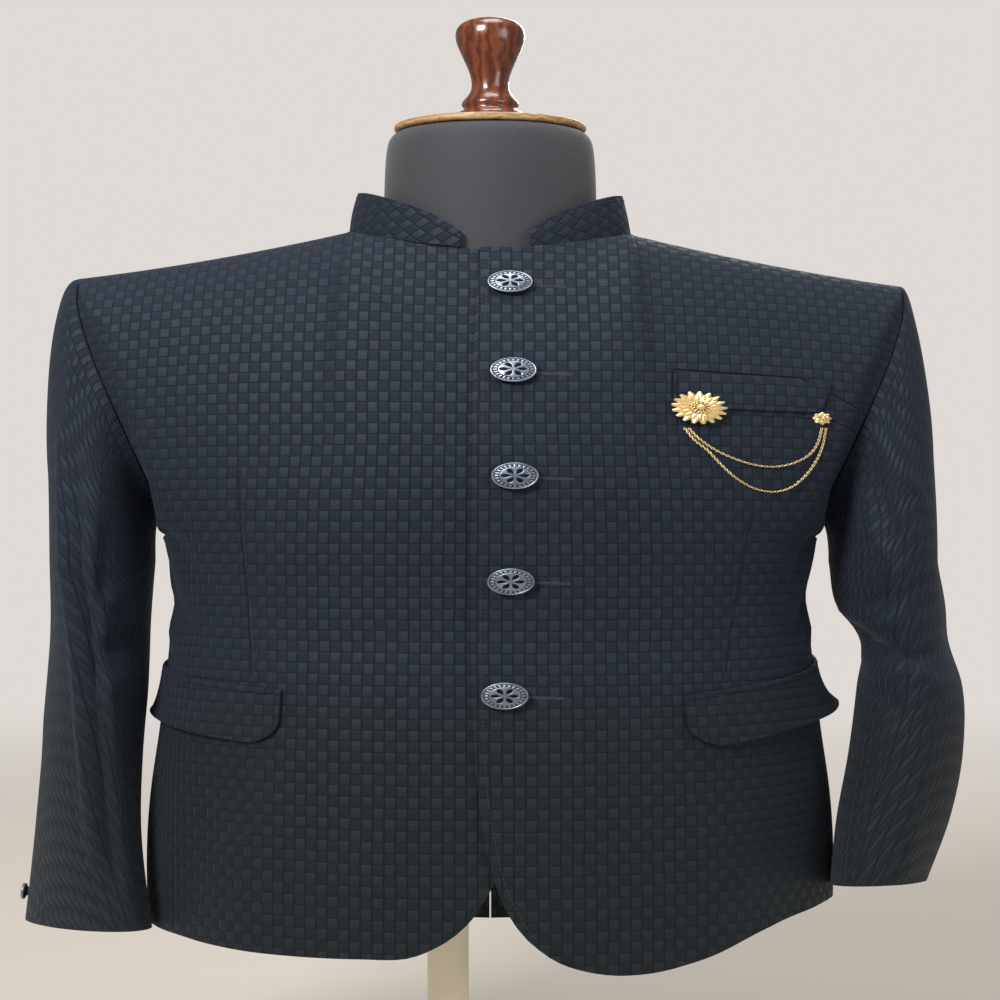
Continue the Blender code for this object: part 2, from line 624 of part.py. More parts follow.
def strip_grid(strip, sign, rows, columns, drop=0.0, depth=None):
    """A grid of (distance round, level) for a pocket's flap, welt or jetting."""
    depth = strip.depth if depth is None else depth
    inner_angle, inner_level = locate((strip.inner_x, strip.inner_z))
    outer_angle, outer_level = locate((strip.outer_x, strip.outer_z))
    past = FLAP_PAST_SIDE if strip.stand_off else 0.0
    slope = (outer_level - inner_level) / abs(outer_angle - inner_angle)
    outer_angle += sign * past
    outer_level += slope * past
    s = np.linspace(0, 1, columns)[None, :]
    v = 1 - (1 - np.linspace(0, 1, rows)[:, None]) ** 1.5
    near_foot = np.maximum(v * depth - (depth - strip.corner), 0) / strip.corner
    inset = strip.corner * (1 - np.sqrt(np.maximum(1 - near_foot ** 2, 0.01)))
    inset = inset if depth == strip.depth else 0 * inset
    start = inner_angle * GIRTH_MM + sign * inset
    end = outer_angle * GIRTH_MM - sign * inset
    along_row = start + (end - start) * s
    level = inner_level + (outer_level - inner_level) * s - drop - v * depth
    return np.stack([along_row + 0 * level, level], -1), s, v


def lay_on_front(name, plane, lift, thickness, over, finish):
    """A thin wall on a front, its inner side raised by lift (metres) off the cloth."""
    x = body_point(JACKET, plane[..., 0] / GIRTH_MM, plane[..., 1])[..., 0]
    lift = lift + front_lift(x, over)
    outer, inner, normal = body_grid(plane, lift + thickness)
    return wall(name, outer, outer - normal * thickness, finish)


def make_pockets(finish):
    for side_name, strip, sign, over in (("left", FLAP_LEFT, 1, True), ("right", FLAP_RIGHT, -1, False)):
        plane, s, v = strip_grid(strip, sign, 7, 12, drop=JETTING_HEIGHT + 0.3)
        hang = 2 * SEAM + strip.stand_off / 1000 * v ** 2 * s ** 2 + 0.0012 * v
        lay_on_front(f"flap_{side_name}", plane, hang, CLOTH, over, finish)
        plane, s, v = strip_grid(strip, sign, 2, 12, depth=JETTING_HEIGHT)
        lay_on_front(f"jetting_{side_name}", plane, 2 * SEAM + 0 * plane[..., 0], THIN_CLOTH, over, finish)
    plane, _, _ = strip_grid(BREAST_WELT, 1, 4, 9)
    lay_on_front("breast_welt", plane, 2 * SEAM + 0 * plane[..., 0], THIN_CLOTH, True, finish)


def on_front(place, lift):
    """Where something sits on the over front: its centre's place on the cloth and the direction out of it."""
    angle, level = locate(place)
    step = 1.0
    here = body_point(JACKET, angle, level)
    across = body_point(JACKET, angle + step, level) - body_point(JACKET, angle - step, level)
    upward = body_point(JACKET, angle, level + step) - body_point(JACKET, angle, level - step)
    normal = np.cross(across, upward)
    normal /= np.linalg.norm(normal)
    if normal[1] > 0:
        normal = -normal
    off = lift + float(front_lift(np.array(here[0]), True))
    return Vector(world(here + normal * off * 1000)), Vector(normal)


def turned(name, profile, finish, segments=32, smooth=True):
    """A solid of revolution from (radius, height) points, bottom to top, both ends on the axis."""
    work = bmesh.new()
    points = [work.verts.new((radius, 0.0, height)) for radius, height in profile]
    edges = [work.edges.new(pair) for pair in zip(points, points[1:])]
    bmesh.ops.spin(
        work, geom=points + edges, cent=(0, 0, 0), axis=(0, 0, 1), angle=math.tau, steps=segments, use_duplicate=False
    )
    bmesh.ops.remove_doubles(work, verts=work.verts, dist=1e-6)
    bmesh.ops.recalc_face_normals(work, faces=work.faces)
    mesh = bpy.data.meshes.new(name)
    work.to_mesh(mesh)
    work.free()
    return new_object(name, mesh, finish, smooth)


def point_out(thing, place, normal):
    thing.location = place
    thing.rotation_euler = normal.to_track_quat("Z", "Y").to_euler()


def make_buttons(finish):
    """Domed metal buttons with a raised rim, their shank hidden against the cloth."""
    radius = BUTTON_RADIUS
    profile = [
        (0.0, 0.0),
        (radius * 0.50, 0.0),
        (radius * 0.55, 0.0012),
        (radius * 0.96, 0.0026),
        (radius, 0.0036),
        (radius * 0.92, 0.0046),
        (radius * 0.60, 0.0056),
        (0.0, 0.0064),
    ]
    for number, place in enumerate(BUTTONS, 1):
        button = turned(f"button_{number}", profile, finish, 16)
        point_out(button, *on_front(place, SEAM))
    small = [(r * 0.66, h * 0.8) for r, h in profile]
    for side_name, rows, side in (("left", SLEEVE_LEFT, 1), ("right", SLEEVE_RIGHT, -1)):
        turn, level = CUFF_BUTTON
        here = sleeve_point(rows, turn, level, side)
        across = sleeve_point(rows, turn + 2, level, side) - sleeve_point(rows, turn - 2, level, side)
        upward = sleeve_point(rows, turn, level - 0.01, side) - sleeve_point(rows, turn, level + 0.01, side)
        normal = np.cross(across, upward)
        normal /= np.linalg.norm(normal)
        if normal[0] * side < 0:
            normal = -normal
        button = turned(f"cuff_button_{side_name}", small, finish, 14)
        place = world(here + normal * 0.45)
        point_out(button, Vector(place), Vector(normal))


def flower(name, radius, petals, height, finish):
    """A petalled disc with a domed middle, all one solid."""
    around = petals * 2
    turn = np.arange(around) * math.tau / around
    wave = 0.5 + 0.5 * np.cos(turn * petals)
    levels = [
        (0.30, 0.0, 0.0),
        (0.98, 0.0, 0.16),
        (1.00, 0.35, 0.16),
        (0.80, 0.62, 0.08),
        (0.45, 0.72, 0.0),
        (0.30, 1.00, 0.0),
    ]
    vertices = [(0.0, 0.0, 0.0)]
    for share, up, notch in levels:
        reach = radius * share * (1 - notch * (1 - wave))
        vertices += [(r * math.cos(a), r * math.sin(a), up * height) for r, a in zip(reach, turn)]
    vertices.append((0.0, 0.0, height * 1.1))
    faces = []
    for c in range(around):
        d = (c + 1) % around
        faces.append((0, 1 + d, 1 + c))
        for r in range(len(levels) - 1):
            low, high = 1 + r * around, 1 + (r + 1) * around
            faces.append((low + c, low + d, high + d, high + c))
        last = 1 + (len(levels) - 1) * around
        faces.append((last + c, last + d, len(vertices) - 1))
    return new_object(name, closed_mesh(name, vertices, faces), finish)


def make_brooch(finish):
    """The sunflower brooch over the welt's lower edge, the small flower pin and the two chains between them."""
    on_welt = THIN_CLOTH + 2 * SEAM + 0.0004
    large = flower("brooch_flower", 0.0152, 17, 0.0040, finish)
    point_out(large, *on_front(BROOCH, on_welt))
    small = flower("brooch_small_flower", 0.0058, 8, 0.0028, finish)
    point_out(small, *on_front(SMALL_FLOWER, SEAM * 2))
    for name, route in (("brooch_chain_upper", CHAIN_UPPER), ("brooch_chain_lower", CHAIN_LOWER)):
        points = resample([tuple(on_front(place, CHAIN_RADIUS + 0.0007)[0]) for place in route], np.linspace(0, 1, 18))
        curve = bpy.data.curves.new(name, "CURVE")
        curve.dimensions = "3D"
        curve.bevel_depth = CHAIN_RADIUS
        curve.bevel_resolution = 1
        curve.use_fill_caps = True
        spline = curve.splines.new("POLY")
        spline.points.add(len(points) - 1)
        for knot, point in zip(spline.points, points):
            knot.co = (*point, 1.0)
        curve.materials.append(finish)
        made = bpy.data.objects.new(name, curve)
        bpy.context.scene.collection.objects.link(made)


def inside_cloth(points):
    """Moves the form's points in where they would come nearer to the jacket's outer surface than ROOM."""
    angles = np.arange(-180.0, 180.0, 3.0)
    levels = np.linspace(RING_TOP - 20, TOP, 60)
    grid = body_point(JACKET, angles[None, :], levels[:, None])
    count = len(angles)
    faces = []
    for r in range(len(levels) - 1):
        for c in range(count):
            d = (c + 1) % count
            faces.append((r * count + c, r * count + d, (r + 1) * count + d, (r + 1) * count + c))
    tree = BVHTree.FromPolygons([tuple(p) for p in grid.reshape(-1, 3)], faces)
    moved = points.reshape(-1, 3).copy()
    for index, point in enumerate(moved):
        if math.hypot(point[0], point[1] - JACKET_NECKLINE.y) < JACKET_NECKLINE.front:
            continue
        place, normal, _, _ = tree.find_nearest(Vector(point))
        near_front = (point[1] < 0) * (1 - smooth_step(abs(point[0]), 30, 75))
        room = ROOM + near_front * 2000 * OVERLAP_LIFT * 0.7
        if (place - Vector(point)).dot(normal) < room:
            moved[index] = place - normal * room
    return moved.reshape(points.shape)


def make_form(finish):
    """Torso and neck of the dress form in one solid: front and back lines meet along the shoulders, an arm plate
    closes each side, the neck rises from the neckline."""
    quarter = [
        np.linspace(0, NECK_FRONT, 5),
        np.linspace(NECK_FRONT, TIP_FRONT, 6)[1:],
        np.linspace(TIP_FRONT, ARMPIT, 6)[1:],
        np.linspace(ARMPIT, TIP_BACK, 6)[1:],
        np.linspace(TIP_BACK, NECK_BACK, 6)[1:],
        np.linspace(NECK_BACK, 180, 5)[1:],
    ]
    half = np.concatenate(quarter)
    angles = np.concatenate([half, -half[-2:0:-1]])
    count = len(angles)
    upper = RING_TOP + (TOP - RING_TOP) * (1 - (1 - np.linspace(0, 1, 12)) ** 1.5)
    levels = np.concatenate([np.linspace(FORM_RINGS[0].height, RING_TOP, 6), upper[1:]])
    grid = body_point(FORM, angles[None, :], levels[:, None])
    above = (levels >= RING_TOP) & (levels < TOP)
    grid[above] = inside_cloth(grid[above])
    vertices = [tuple(p) for p in world(grid).reshape(-1, 3)]
    faces = []
    for r in range(len(levels) - 1):
        for c in range(count):
            d = (c + 1) % count
            faces.append((r * count + c, r * count + d, (r + 1) * count + d, (r + 1) * count + c))
    low = (body_point(FORM, angles, levels[0]) * np.array([0.965, 0.955, 1.0])) - np.array([0, 0, 8.0])
    under = len(vertices)
    vertices += [tuple(p) for p in world(low)]
    faces += [(under + c, under + (c + 1) % count, (c + 1) % count, c) for c in range(count)]
    faces.append(tuple(under + c for c in range(count))[::-1])

    top_row = (len(levels) - 1) * count
    for side in (1, -1):
        loop = [c for c in range(count) if TIP_FRONT - 0.01 <= side * angles[c] <= TIP_BACK + 0.01]
        loop = sorted(loop, key=lambda c: abs(angles[c]))
        rim = np.array([vertices[top_row + c] for c in loop])[:-1]
        middle = rim.mean(axis=0) + np.array([side * 0.010, 0, 0])
        bulge = len(vertices)
        ring = rim * 0.45 + middle * 0.55 + np.array([side * -0.0005, 0, 0])
        vertices += [tuple(p) for p in ring]
        vertices.append(tuple(middle))
        size = len(ring)
        names = [top_row + c for c in loop[:-1]]
        for k in range(size):
            n = (k + 1) % size
            faces.append((names[k], names[n], bulge + n, bulge + k))
            faces.append((bulge + k, bulge + n, bulge + size))

    neck_ids = [c for c in range(count) if abs(angles[c]) <= NECK_FRONT + 0.01 or abs(angles[c]) >= NECK_BACK - 0.01]
    turn = np.array([float(neck_turn(np.array(angles[c]))) * (1 if angles[c] >= 0 else -1) for c in neck_ids])
    order = np.argsort(turn)
    names = [top_row + neck_ids[k] for k in order]
    turn = np.radians(turn[order])
    Neck = namedtuple("Neck", "height radius")
    rings = [Neck(292, 59.5), Neck(322, 59.3), Neck(346, 58.2), Neck(355, 56.5), Neck(360, 53.5), Neck(362, 50.0)]
    previous = names
    for row in rings:
        start = len(vertices)
        ring = np.stack(
            [row.radius * np.sin(turn), FORM_NECKLINE.y - row.radius * np.cos(turn), np.full(len(turn), row.height)], -1
        )
        vertices += [tuple(p) for p in world(ring)]
        current = list(range(start, start + len(turn)))
        for k in range(len(turn)):
            n = (k + 1) % len(turn)
            faces.append((previous[k], previous[n], current[n], current[k]))
        previous = current
    faces.append(tuple(previous))

    mesh = bpy.data.meshes.new("form_body")
    mesh.from_pydata(vertices, [], faces)
    work = bmesh.new()
    work.from_mesh(mesh)
    bmesh.ops.remove_doubles(work, verts=work.verts, dist=0.00005)
    bmesh.ops.dissolve_degenerate(work, edges=work.edges, dist=0.00001)
    bmesh.ops.recalc_face_normals(work, faces=work.faces)
    work.to_mesh(mesh)
    work.free()
    return new_object("form_body", mesh, finish)


def lathe_at(name, rows, finish, x, y, segments=32):
    """A turned solid standing at x, y; the rows are (radius, height) in millimetres above the chest line."""
    profile = [(radius / 1000, height / 1000 + CHEST_LINE) for radius, height in rows]
    made = turned(name, profile, finish, segments)
    made.location = (x, y, 0.0)
    return made


def make_woodwork(rim, wood):
    """The disc on the neck and the turned knob on it."""
    y = FORM_NECKLINE.y / 1000
    cap = [(0, 362.3), (49, 362.3), (52, 363.8), (52.5, 366), (52, 368), (49, 369.5), (0, 369.5)]
    lathe_at("form_cap", cap, rim, BODY_X, y, 32)
    knob = [
        (0, 369.8), (17.5, 369.8), (19.5, 373), (19.5, 379), (14.5, 387), (15.5, 391), (14.0, 396),
        (10.5, 402), (10.3, 414), (14.0, 433), (17.5, 445), (19.0, 456), (18.2, 464), (14.5, 470.5),
        (8.0, 473.6), (0, 474.3),
    ]
    lathe_at("form_knob", knob, wood, BODY_X, y, 18)


def make_stand(finish):
    """A plain pole from under the form down into the hub of a round base."""
    top = FORM_RINGS[0].height - 8.0 - 1000 * SEAM
    hub_top = 52.0 - 1000 * CHEST_LINE
    pole_r = 1000 * POLE_RADIUS
    lathe_at("pole", [(0, hub_top + 0.3), (pole_r, hub_top + 0.3), (pole_r, top), (0, top)], finish, 0.0, 0.0, 32)
    rim = 1000 * BASE_RADIUS
    floor = -1000 * CHEST_LINE
    base = [
        (0, floor), (rim, floor), (rim, floor + 8), (rim - 4, floor + 12), (60, floor + 18), (30, floor + 22),
        (22, floor + 30), (20, floor + 50), (18.5, floor + 52), (0, floor + 52),
    ]
    lathe_at("base", base, finish, 0.0, 0.0, 36)


def make_jacket(cloth):
    make_front("front_over", OVER_EDGE, OVER_HEM, 1, True, cloth)
    make_front("front_under", UNDER_EDGE, UNDER_HEM, -1, False, cloth)
    make_back("back_left", BACK_HEM_LEFT, 1, cloth)
    make_back("back_right", BACK_HEM_RIGHT, -1, cloth)
    make_collar(cloth)
    make_sleeve("left", SLEEVE_LEFT, 1, cloth)
    make_sleeve("right", SLEEVE_RIGHT, -1, cloth)
    make_pockets(cloth)


def main():
    clear()
    cloth = material("cloth", 0.75)
    make_jacket(cloth)
    make_buttons(material("metal", 0.30, 1.0))
    make_brooch(material("gold", 0.25, 1.0))
    make_form(material("form", 0.65))
    make_woodwork(material("rim", 0.45), material("wood", 0.20))
    make_stand(material("pole", 0.40))


main()
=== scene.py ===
import math
from collections import namedtuple

import bmesh
import bpy
import numpy as np
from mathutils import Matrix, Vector

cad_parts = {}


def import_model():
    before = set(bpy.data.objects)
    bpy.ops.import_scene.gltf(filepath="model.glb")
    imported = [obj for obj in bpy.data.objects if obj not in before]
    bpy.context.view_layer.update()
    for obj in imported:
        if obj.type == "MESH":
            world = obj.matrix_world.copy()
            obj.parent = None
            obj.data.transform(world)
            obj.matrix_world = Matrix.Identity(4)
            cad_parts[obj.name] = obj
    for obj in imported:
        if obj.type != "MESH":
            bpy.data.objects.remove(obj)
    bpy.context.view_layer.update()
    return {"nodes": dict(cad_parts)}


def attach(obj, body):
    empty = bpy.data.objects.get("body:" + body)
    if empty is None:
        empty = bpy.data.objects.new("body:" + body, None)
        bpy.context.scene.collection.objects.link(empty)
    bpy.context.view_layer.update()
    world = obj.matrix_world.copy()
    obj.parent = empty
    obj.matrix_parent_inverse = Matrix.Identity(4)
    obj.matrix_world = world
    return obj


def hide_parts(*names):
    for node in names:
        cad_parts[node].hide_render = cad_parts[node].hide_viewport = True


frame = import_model()
print("frame loaded")

# Surfaces of the jacket and the form. Tables are in millimetres and degrees, heights count from the chest line.
chestLine = 0.620  # height of the level that the tables' heights are counted from
bodyX = 0.023  # the form's centre line stands this far to the wearer's left of the pole
clothWall = 0.0020  # wall of the jacket's cloth
thinWall = 0.0016  # wall of what lies on a panel
seamGap = 0.0003  # gap between pieces that touch
seamLevel = 0.3  # the same gap's half, in levels at the top line
seamAngle = 0.055  # and in degrees round the body
frontCorner = -375.0  # mm, where a front's edge is taken to turn into its hem
overlapLift = 0.0018  # half of the step between the two fronts where they overlap
overSettles = (28.0, 75.0)  # mm from the middle, where the over front comes down to the body's surface
underSettles = (-60.0, -12.0)  # and where the under front goes down under it
ringTop = -40.0  # mm, height where the rings end and the chest and shoulders begin
topLevel = 250.0  # end of the scale of levels, at the neckline, shoulder or armhole
girthMm = 2.9  # mm round the body for each degree
shoulderTilt = -0.018  # rise of the shoulders for each metre towards the wearer's left
neckFront = 26.0
tipFront = 54.0
armpit = 90.0
tipBack = 130.0
neckBack = 153.0
sideSeam = 95.7
rowCrowding = 1.5  # how much a piece's rows crowd towards one edge
armholeCrowding = 1.8  # how much the lines up the body crowd towards the armpit
poleRadius = 0.0113
baseRadius = 0.150
formUnderside = -308.0
Ring = namedtuple("Ring", "height halfWidth front back squareness")
jacketRings = [Ring(*row) for row in (
    (-470, 187, 150, 143, 2.30), (-400, 185, 149, 141, 2.30), (-330, 184, 147, 139, 2.30),
    (-265, 182, 142, 134, 2.30), (-170, 176, 134, 123, 2.32), (-105, 173, 130, 117, 2.36),
    (-40, 177, 134, 120, 2.42),
)]
Armhole = namedtuple("Armhole", "share x y z lean across")
jacketArmhole = [Armhole(*row) for row in (
    (-1.00, 227, 8, 217, 0, 0), (-0.88, 224, -20, 193, 30, 45), (-0.68, 213, -45, 141, 55, 85),
    (-0.48, 199, -58, 88, 70, 90), (-0.26, 185, -50, 30, 80, 70), (-0.12, 179, -29, -2, 88, 30),
    (0.00, 177, 0, -13, 90, 0), (0.12, 178, 31, -2, 88, 30), (0.28, 185, 53, 34, 80, 60),
    (0.50, 200, 61, 91, 70, 80), (0.70, 212, 53, 142, 55, 80), (0.88, 223, 33, 193, 30, 45),
    (1.00, 227, 8, 217, 0, 0),
)]
Neckline = namedtuple("Neckline", "halfWidth front back y frontZ sideZ backZ frontLean backLean")
jacketNeckline = Neckline(77, 66, 67, 4, 237, 262, 273, 62, 62)
shoulderHollow = 4.0  # mm that the shoulder line sags between neck and tip
Edge = namedtuple("Edge", "level x")
overEdge = [Edge(*row) for row in (
    (250, -5), (150, -8), (0, -9), (-170, -9), (-262, -6), (-300, -3), (-330, 1), (-362, 8), (-390, 20),
    (-410, 37),
)]
underEdge = [Edge(*row) for row in (
    (250, 22), (0, 24), (-170, 24), (-262, 18), (-310, 9), (-345, 0), (-372, -10), (-392, -24), (-404, -40),
)]
Hem = namedtuple("Hem", "angle level")
overHem = [Hem(16, -420), Hem(22, -420), Hem(30, -413), Hem(45, -393), Hem(75, -382), Hem(97, -390)]
underHem = [Hem(-17, -406), Hem(-24, -407), Hem(-38, -407), Hem(-60, -405), Hem(-97, -407)]
backHemLeft = [Hem(97, -390), Hem(125, -420), Hem(155, -446), Hem(180, -452)]
backHemRight = [Hem(-97, -407), Hem(-125, -426), Hem(-155, -446), Hem(-180, -452)]
Sleeve = namedtuple("Sleeve", "height x y halfWidth halfDepth turn rise pitch")
sleeveLeft = [Sleeve(*row) for row in (
    (-62, 217, 4, 30, 86, 3, 0.0, 0.0), (-105, 221, 6, 30, 83, 6, 0.0, 0.0),
    (-140, 228, 5, 24, 80, 8, 0.0, 0.05), (-185, 230, -3, 29, 76, 10, 0.0, 0.12),
    (-245, 226, -18, 31, 71, 13, 0.0, 0.18), (-310, 216, -36, 30, 66, 15, 0.0, 0.20),
    (-366, 206, -50, 25, 63, 15, 0.0, 0.20),
)]
sleeveRight = [Sleeve(*row) for row in (
    (-62, 214, 4, 29, 87, 3, 0.0, 0.0), (-120, 215, 5, 28, 83, 6, 0.0, 0.0),
    (-180, 216, 3, 28, 78, 9, 0.0, 0.0), (-250, 218, -6, 27, 73, 14, 0.02, 0.04),
    (-320, 219, -16, 26, 70, 20, 0.06, 0.08), (-375, 218, -25, 25, 68, 27, 0.10, 0.10),
    (-411, 217, -31, 24, 67, 32, 0.12, 0.10),
)]
capReach = {"left": 26.0, "right": 62.0}  # mm, how firmly the sleeve head stands out before it falls
sleeveFrontSeam = 102.6  # degrees round the sleeve from its outer fold through its front
sleeveBackSeam = 257.4
cuffButton = (306.0, 1.93)  # degrees round the sleeve and level on it
cuffLift = 0.45  # mm between a cuff button and its sleeve
sleeveStandsOff = 0.5  # mm between the armhole and the sleeve's head
collarEnds = (-12.0, 16.0)  # degrees
collarBackHeight = 38.0
collarEndHeight = 14.0
collarRise = 14.0  # degrees from an end over which the band grows to its full height
collarBias = 38.0  # degrees that its weave is turned
collarLean = 4.5  # mm that the band's top stands inside its foot
Strip = namedtuple("Strip", "innerX innerZ outerX outerZ depth corner standOff")
breastWelt = Strip(94, 117, 176, 109, 24, 0.5, 0.0)
flapLeft = Strip(97, -176, 173.5, -157, 41, 22, 9.0)
flapRight = Strip(-104, -172, -174.5, -160, 43, 22, 3.0)
jettingHeight = 5.0
flapGap = 0.3  # mm between a jetting and its flap
flapPastSide = 14.0  # degrees that a flap runs on past the outer corner of its table
Place = namedtuple("Place", "x z")
buttonPlaces = [Place(10, 199), Place(11.5, 115), Place(12, 21), Place(10, -72), Place(7, -174)]
broochPlace = Place(104, 83)
smallFlowerPlace = Place(170.5, 76)
chainUpper = [Place(*row) for row in (
    (99.5, 64), (104, 56), (111, 47), (121, 38.5), (132, 32.5), (143, 30.5), (154, 34), (163, 42),
    (167.5, 52), (170, 66),
)]
chainLower = [Place(*row) for row in (
    (97.3, 64), (101.8, 54.5), (108.5, 45), (115, 33), (124, 19), (134, 10), (143, 7.5), (152, 11),
    (160, 21), (166, 34), (170, 48), (172.4, 66),
)]
chainRadius = 0.0008

# Reads a column at a place along the table's first column, on a smooth curve through the rows.
def along(rows, name, place):
    knots = np.array([row[0] for row in rows], float)
    values = np.array([getattr(row, name) for row in rows], float)
    if knots[0] > knots[-1]:
        knots, values = knots[::-1], values[::-1]
    slopes = np.gradient(values, knots)
    place = np.clip(np.asarray(place, float), knots[0], knots[-1])
    at = np.clip(np.searchsorted(knots, place) - 1, 0, len(knots) - 2)
    span = knots[at + 1] - knots[at]
    t = (place - knots[at]) / span
    lower = (1 + 2 * t) * (1 - t) ** 2 * values[at] + t * (1 - t) ** 2 * span * slopes[at]
    upper = t * t * (3 - 2 * t) * values[at + 1] - t * t * (1 - t) * span * slopes[at + 1]
    return lower + upper


def ringPoint(angle, height):
    rings = jacketRings
    turn = np.radians(angle)
    sine, cosine = np.sin(turn), np.cos(turn)
    power = 2.0 / along(rings, "squareness", height)
    depth = np.where(cosine > 0, along(rings, "front", height), along(rings, "back", height))
    x = along(rings, "halfWidth", height) * np.sign(sine) * np.abs(sine) ** power
    y = -depth * np.sign(cosine) * np.abs(cosine) ** power
    return np.stack([x, y, height + 0 * x], -1)


# Degrees round the neckline for degrees round the body.
def neckTurn(angle):
    angle = np.abs(angle)
    front = 90 * angle / neckFront
    back = 90 + 90 * (angle - neckBack) / (180 - neckBack)
    return np.where(angle < 90, front, back)


def necklinePoint(turn):
    neckline = jacketNeckline
    turnR = np.radians(turn)
    depth = np.where(np.cos(turnR) > 0, neckline.front, neckline.back)
    x = neckline.halfWidth * np.sin(turnR)
    y = neckline.y - depth * np.cos(turnR)
    rise = np.sin(turnR) ** 2
    endZ = np.where(np.cos(turnR) > 0, neckline.frontZ, neckline.backZ)
    return np.stack([x, y, endZ + (neckline.sideZ - endZ) * rise], -1)


# A point of the shoulder line, from the neckline's side (share 0) to the tip (1).
def shoulderPoint(share):
    start = necklinePoint(np.array(90.0))
    tip = jacketArmhole[0]
    point = start + (np.array([tip.x, tip.y, tip.z], float) - start) * share[..., None]
    point[..., 2] -= shoulderHollow * 4 * share * (1 - share)
    return point


# Share round the armhole for degrees round the body: -1 is the tip's front, 0 the armpit, 1 the tip's back.
def armholeShare(angle):
    front = -((armpit - np.minimum(angle, armpit)) / (armpit - tipFront)) ** armholeCrowding
    back = ((np.maximum(angle, armpit) - armpit) / (tipBack - armpit)) ** armholeCrowding
    return np.clip(np.where(angle < armpit, front, back), -1, 1)


# A point of the armhole, how steeply the lines up the body arrive there and how far they swing across.
def armholePoint(share):
    rows = jacketArmhole
    point = np.stack([along(rows, axis, share) for axis in "xyz"], -1)
    return point, along(rows, "lean", share), along(rows, "across", share)


# The upper end of the line up the body at each angle, and how far that line arrives level, rising and across.
def topLine(angle):
    side = np.sign(angle) + (angle == 0)
    a = np.abs(angle)
    turn = neckTurn(a)
    neck = necklinePoint(turn)
    rise = np.sin(np.radians(turn)) ** 2
    endLean = np.where(a < 90, jacketNeckline.frontLean, jacketNeckline.backLean)
    neckLean = endLean * (1 - rise)

    frontShare = (a - neckFront) / (tipFront - neckFront)
    backShare = (neckBack - a) / (neckBack - tipBack)
    share = np.clip(np.where(a < 90, frontShare, backShare), 0, 1)
    shoulder = shoulderPoint(share)
    arm, armLean, armAcross = armholePoint(armholeShare(a))

    onNeck = (a <= neckFront) | (a >= neckBack)
    onArm = (a >= tipFront) & (a <= tipBack)
    point = np.where(onNeck[..., None], neck, np.where(onArm[..., None], arm, shoulder))
    lean = np.where(onNeck, neckLean, np.where(onArm, armLean, 0.0))
    point = point * np.stack([side, np.ones_like(side), np.ones_like(side)], -1)
    levelPull = np.where(onArm, np.cos(np.radians(lean)), 1.0)
    across = np.where(onArm, armAcross, 0.0)
    return point, levelPull, np.sin(np.radians(lean)), across


# How full the lines up the body are, and how far they swing across towards the armhole
fall = {
    "chest": 1.32,
    "shoulder": 1.9,
    "neck": 1.15,
    "slopeStep": 10.0,  # mm
    "startSwing": 0.4,
    "endSwing": 0.6,
    "inwardSwing": 0.8,
}


# A point of the body in millimetres: rings up to ringTop, then smooth lines up to the top line
def bodyPoint(angle, level):
    angle, level = np.broadcast_arrays(np.asarray(angle, float), np.asarray(level, float))
    foot = ringPoint(angle, np.minimum(level, ringTop))
    below = ringPoint(angle, np.full(angle.shape, ringTop - fall["slopeStep"]))
    base = ringPoint(angle, np.full(angle.shape, ringTop))
    top, levelPull, risingPull, across = topLine(angle)
    reach = top - base
    t = np.clip((level - ringTop) / (topLevel - ringTop), 0, 1)[..., None]
    start = (base - below) / fall["slopeStep"] * np.abs(reach[..., 2:3]) * fall["chest"]
    inward = np.where(np.abs(angle) < armpit, 1.0, -1.0)
    levelSize = np.abs(reach[..., 1]) * fall["shoulder"] * levelPull
    endX = reach[..., 0] * risingPull + np.sign(angle) * fall["endSwing"] * across
    endY = inward * (levelSize + fall["inwardSwing"] * across)
    end = np.stack([endX, endY, reach[..., 2] * fall["neck"] * risingPull], -1)
    start[..., 0] = reach[..., 0] + np.sign(angle) * fall["startSwing"] * across
    upper = (1 + 2 * t) * (1 - t) ** 2 * base + t * (1 - t) ** 2 * start
    upper = upper + t * t * (3 - 2 * t) * top - t * t * (1 - t) * end
    upper[..., 2] += shoulderTilt * upper[..., 0] * t[..., 0]
    return np.where((level > ringTop)[..., None], upper, foot)


# Table millimetres to metres in the part's own frame.
def world(points):
    return np.asarray(points) / 1000.0 + np.array([bodyX, 0.0, chestLine])


# Unit directions out of the body's surface.
def bodyNormal(angle, level):
    turn, rise = 0.6, 1.5  # degrees and mm either way
    across = bodyPoint(angle + turn, level) - bodyPoint(angle - turn, level)
    upward = bodyPoint(angle, np.minimum(level + rise, topLevel)) - bodyPoint(angle, level - rise)
    normal = np.cross(across, upward)
    return normal / np.maximum(np.linalg.norm(normal, axis=-1, keepdims=True), 1e-12)


# A grid between four edges, each a row of (distance round, level), whose corners meet
def edgePatch(bottom, top, left, right, share, up):
    s = share[None, :, None]
    t = up[:, None, None]
    across = (1 - t) * bottom[None] + t * top[None]
    upward = (1 - s) * left[:, None] + s * right[:, None]
    corners = (1 - s) * (1 - t) * bottom[0] + s * (1 - t) * bottom[-1] + (1 - s) * t * top[0] + s * t * top[-1]
    return across + upward - corners


# Shares of the way up a panel for its rows, closer together towards the shoulder.
def upwardShares(count):
    return 1 - (1 - np.linspace(0, 1, count)) ** rowCrowding


# Points at shares of the length of a smooth curve through the given ones.
def resample(points, shares):
    points = np.asarray(points, float)
    steps = np.concatenate([[0], np.cumsum(np.linalg.norm(np.diff(points, axis=0), axis=1))])
    knots = [(step, *point) for step, point in zip(steps, points)]
    table = namedtuple("Knot", ["step"] + [f"v{i}" for i in range(points.shape[1])])
    rows = [table(*knot) for knot in knots]
    places = steps[-1] * shares
    return np.stack([along(rows, f"v{i}", places) for i in range(points.shape[1])], -1)


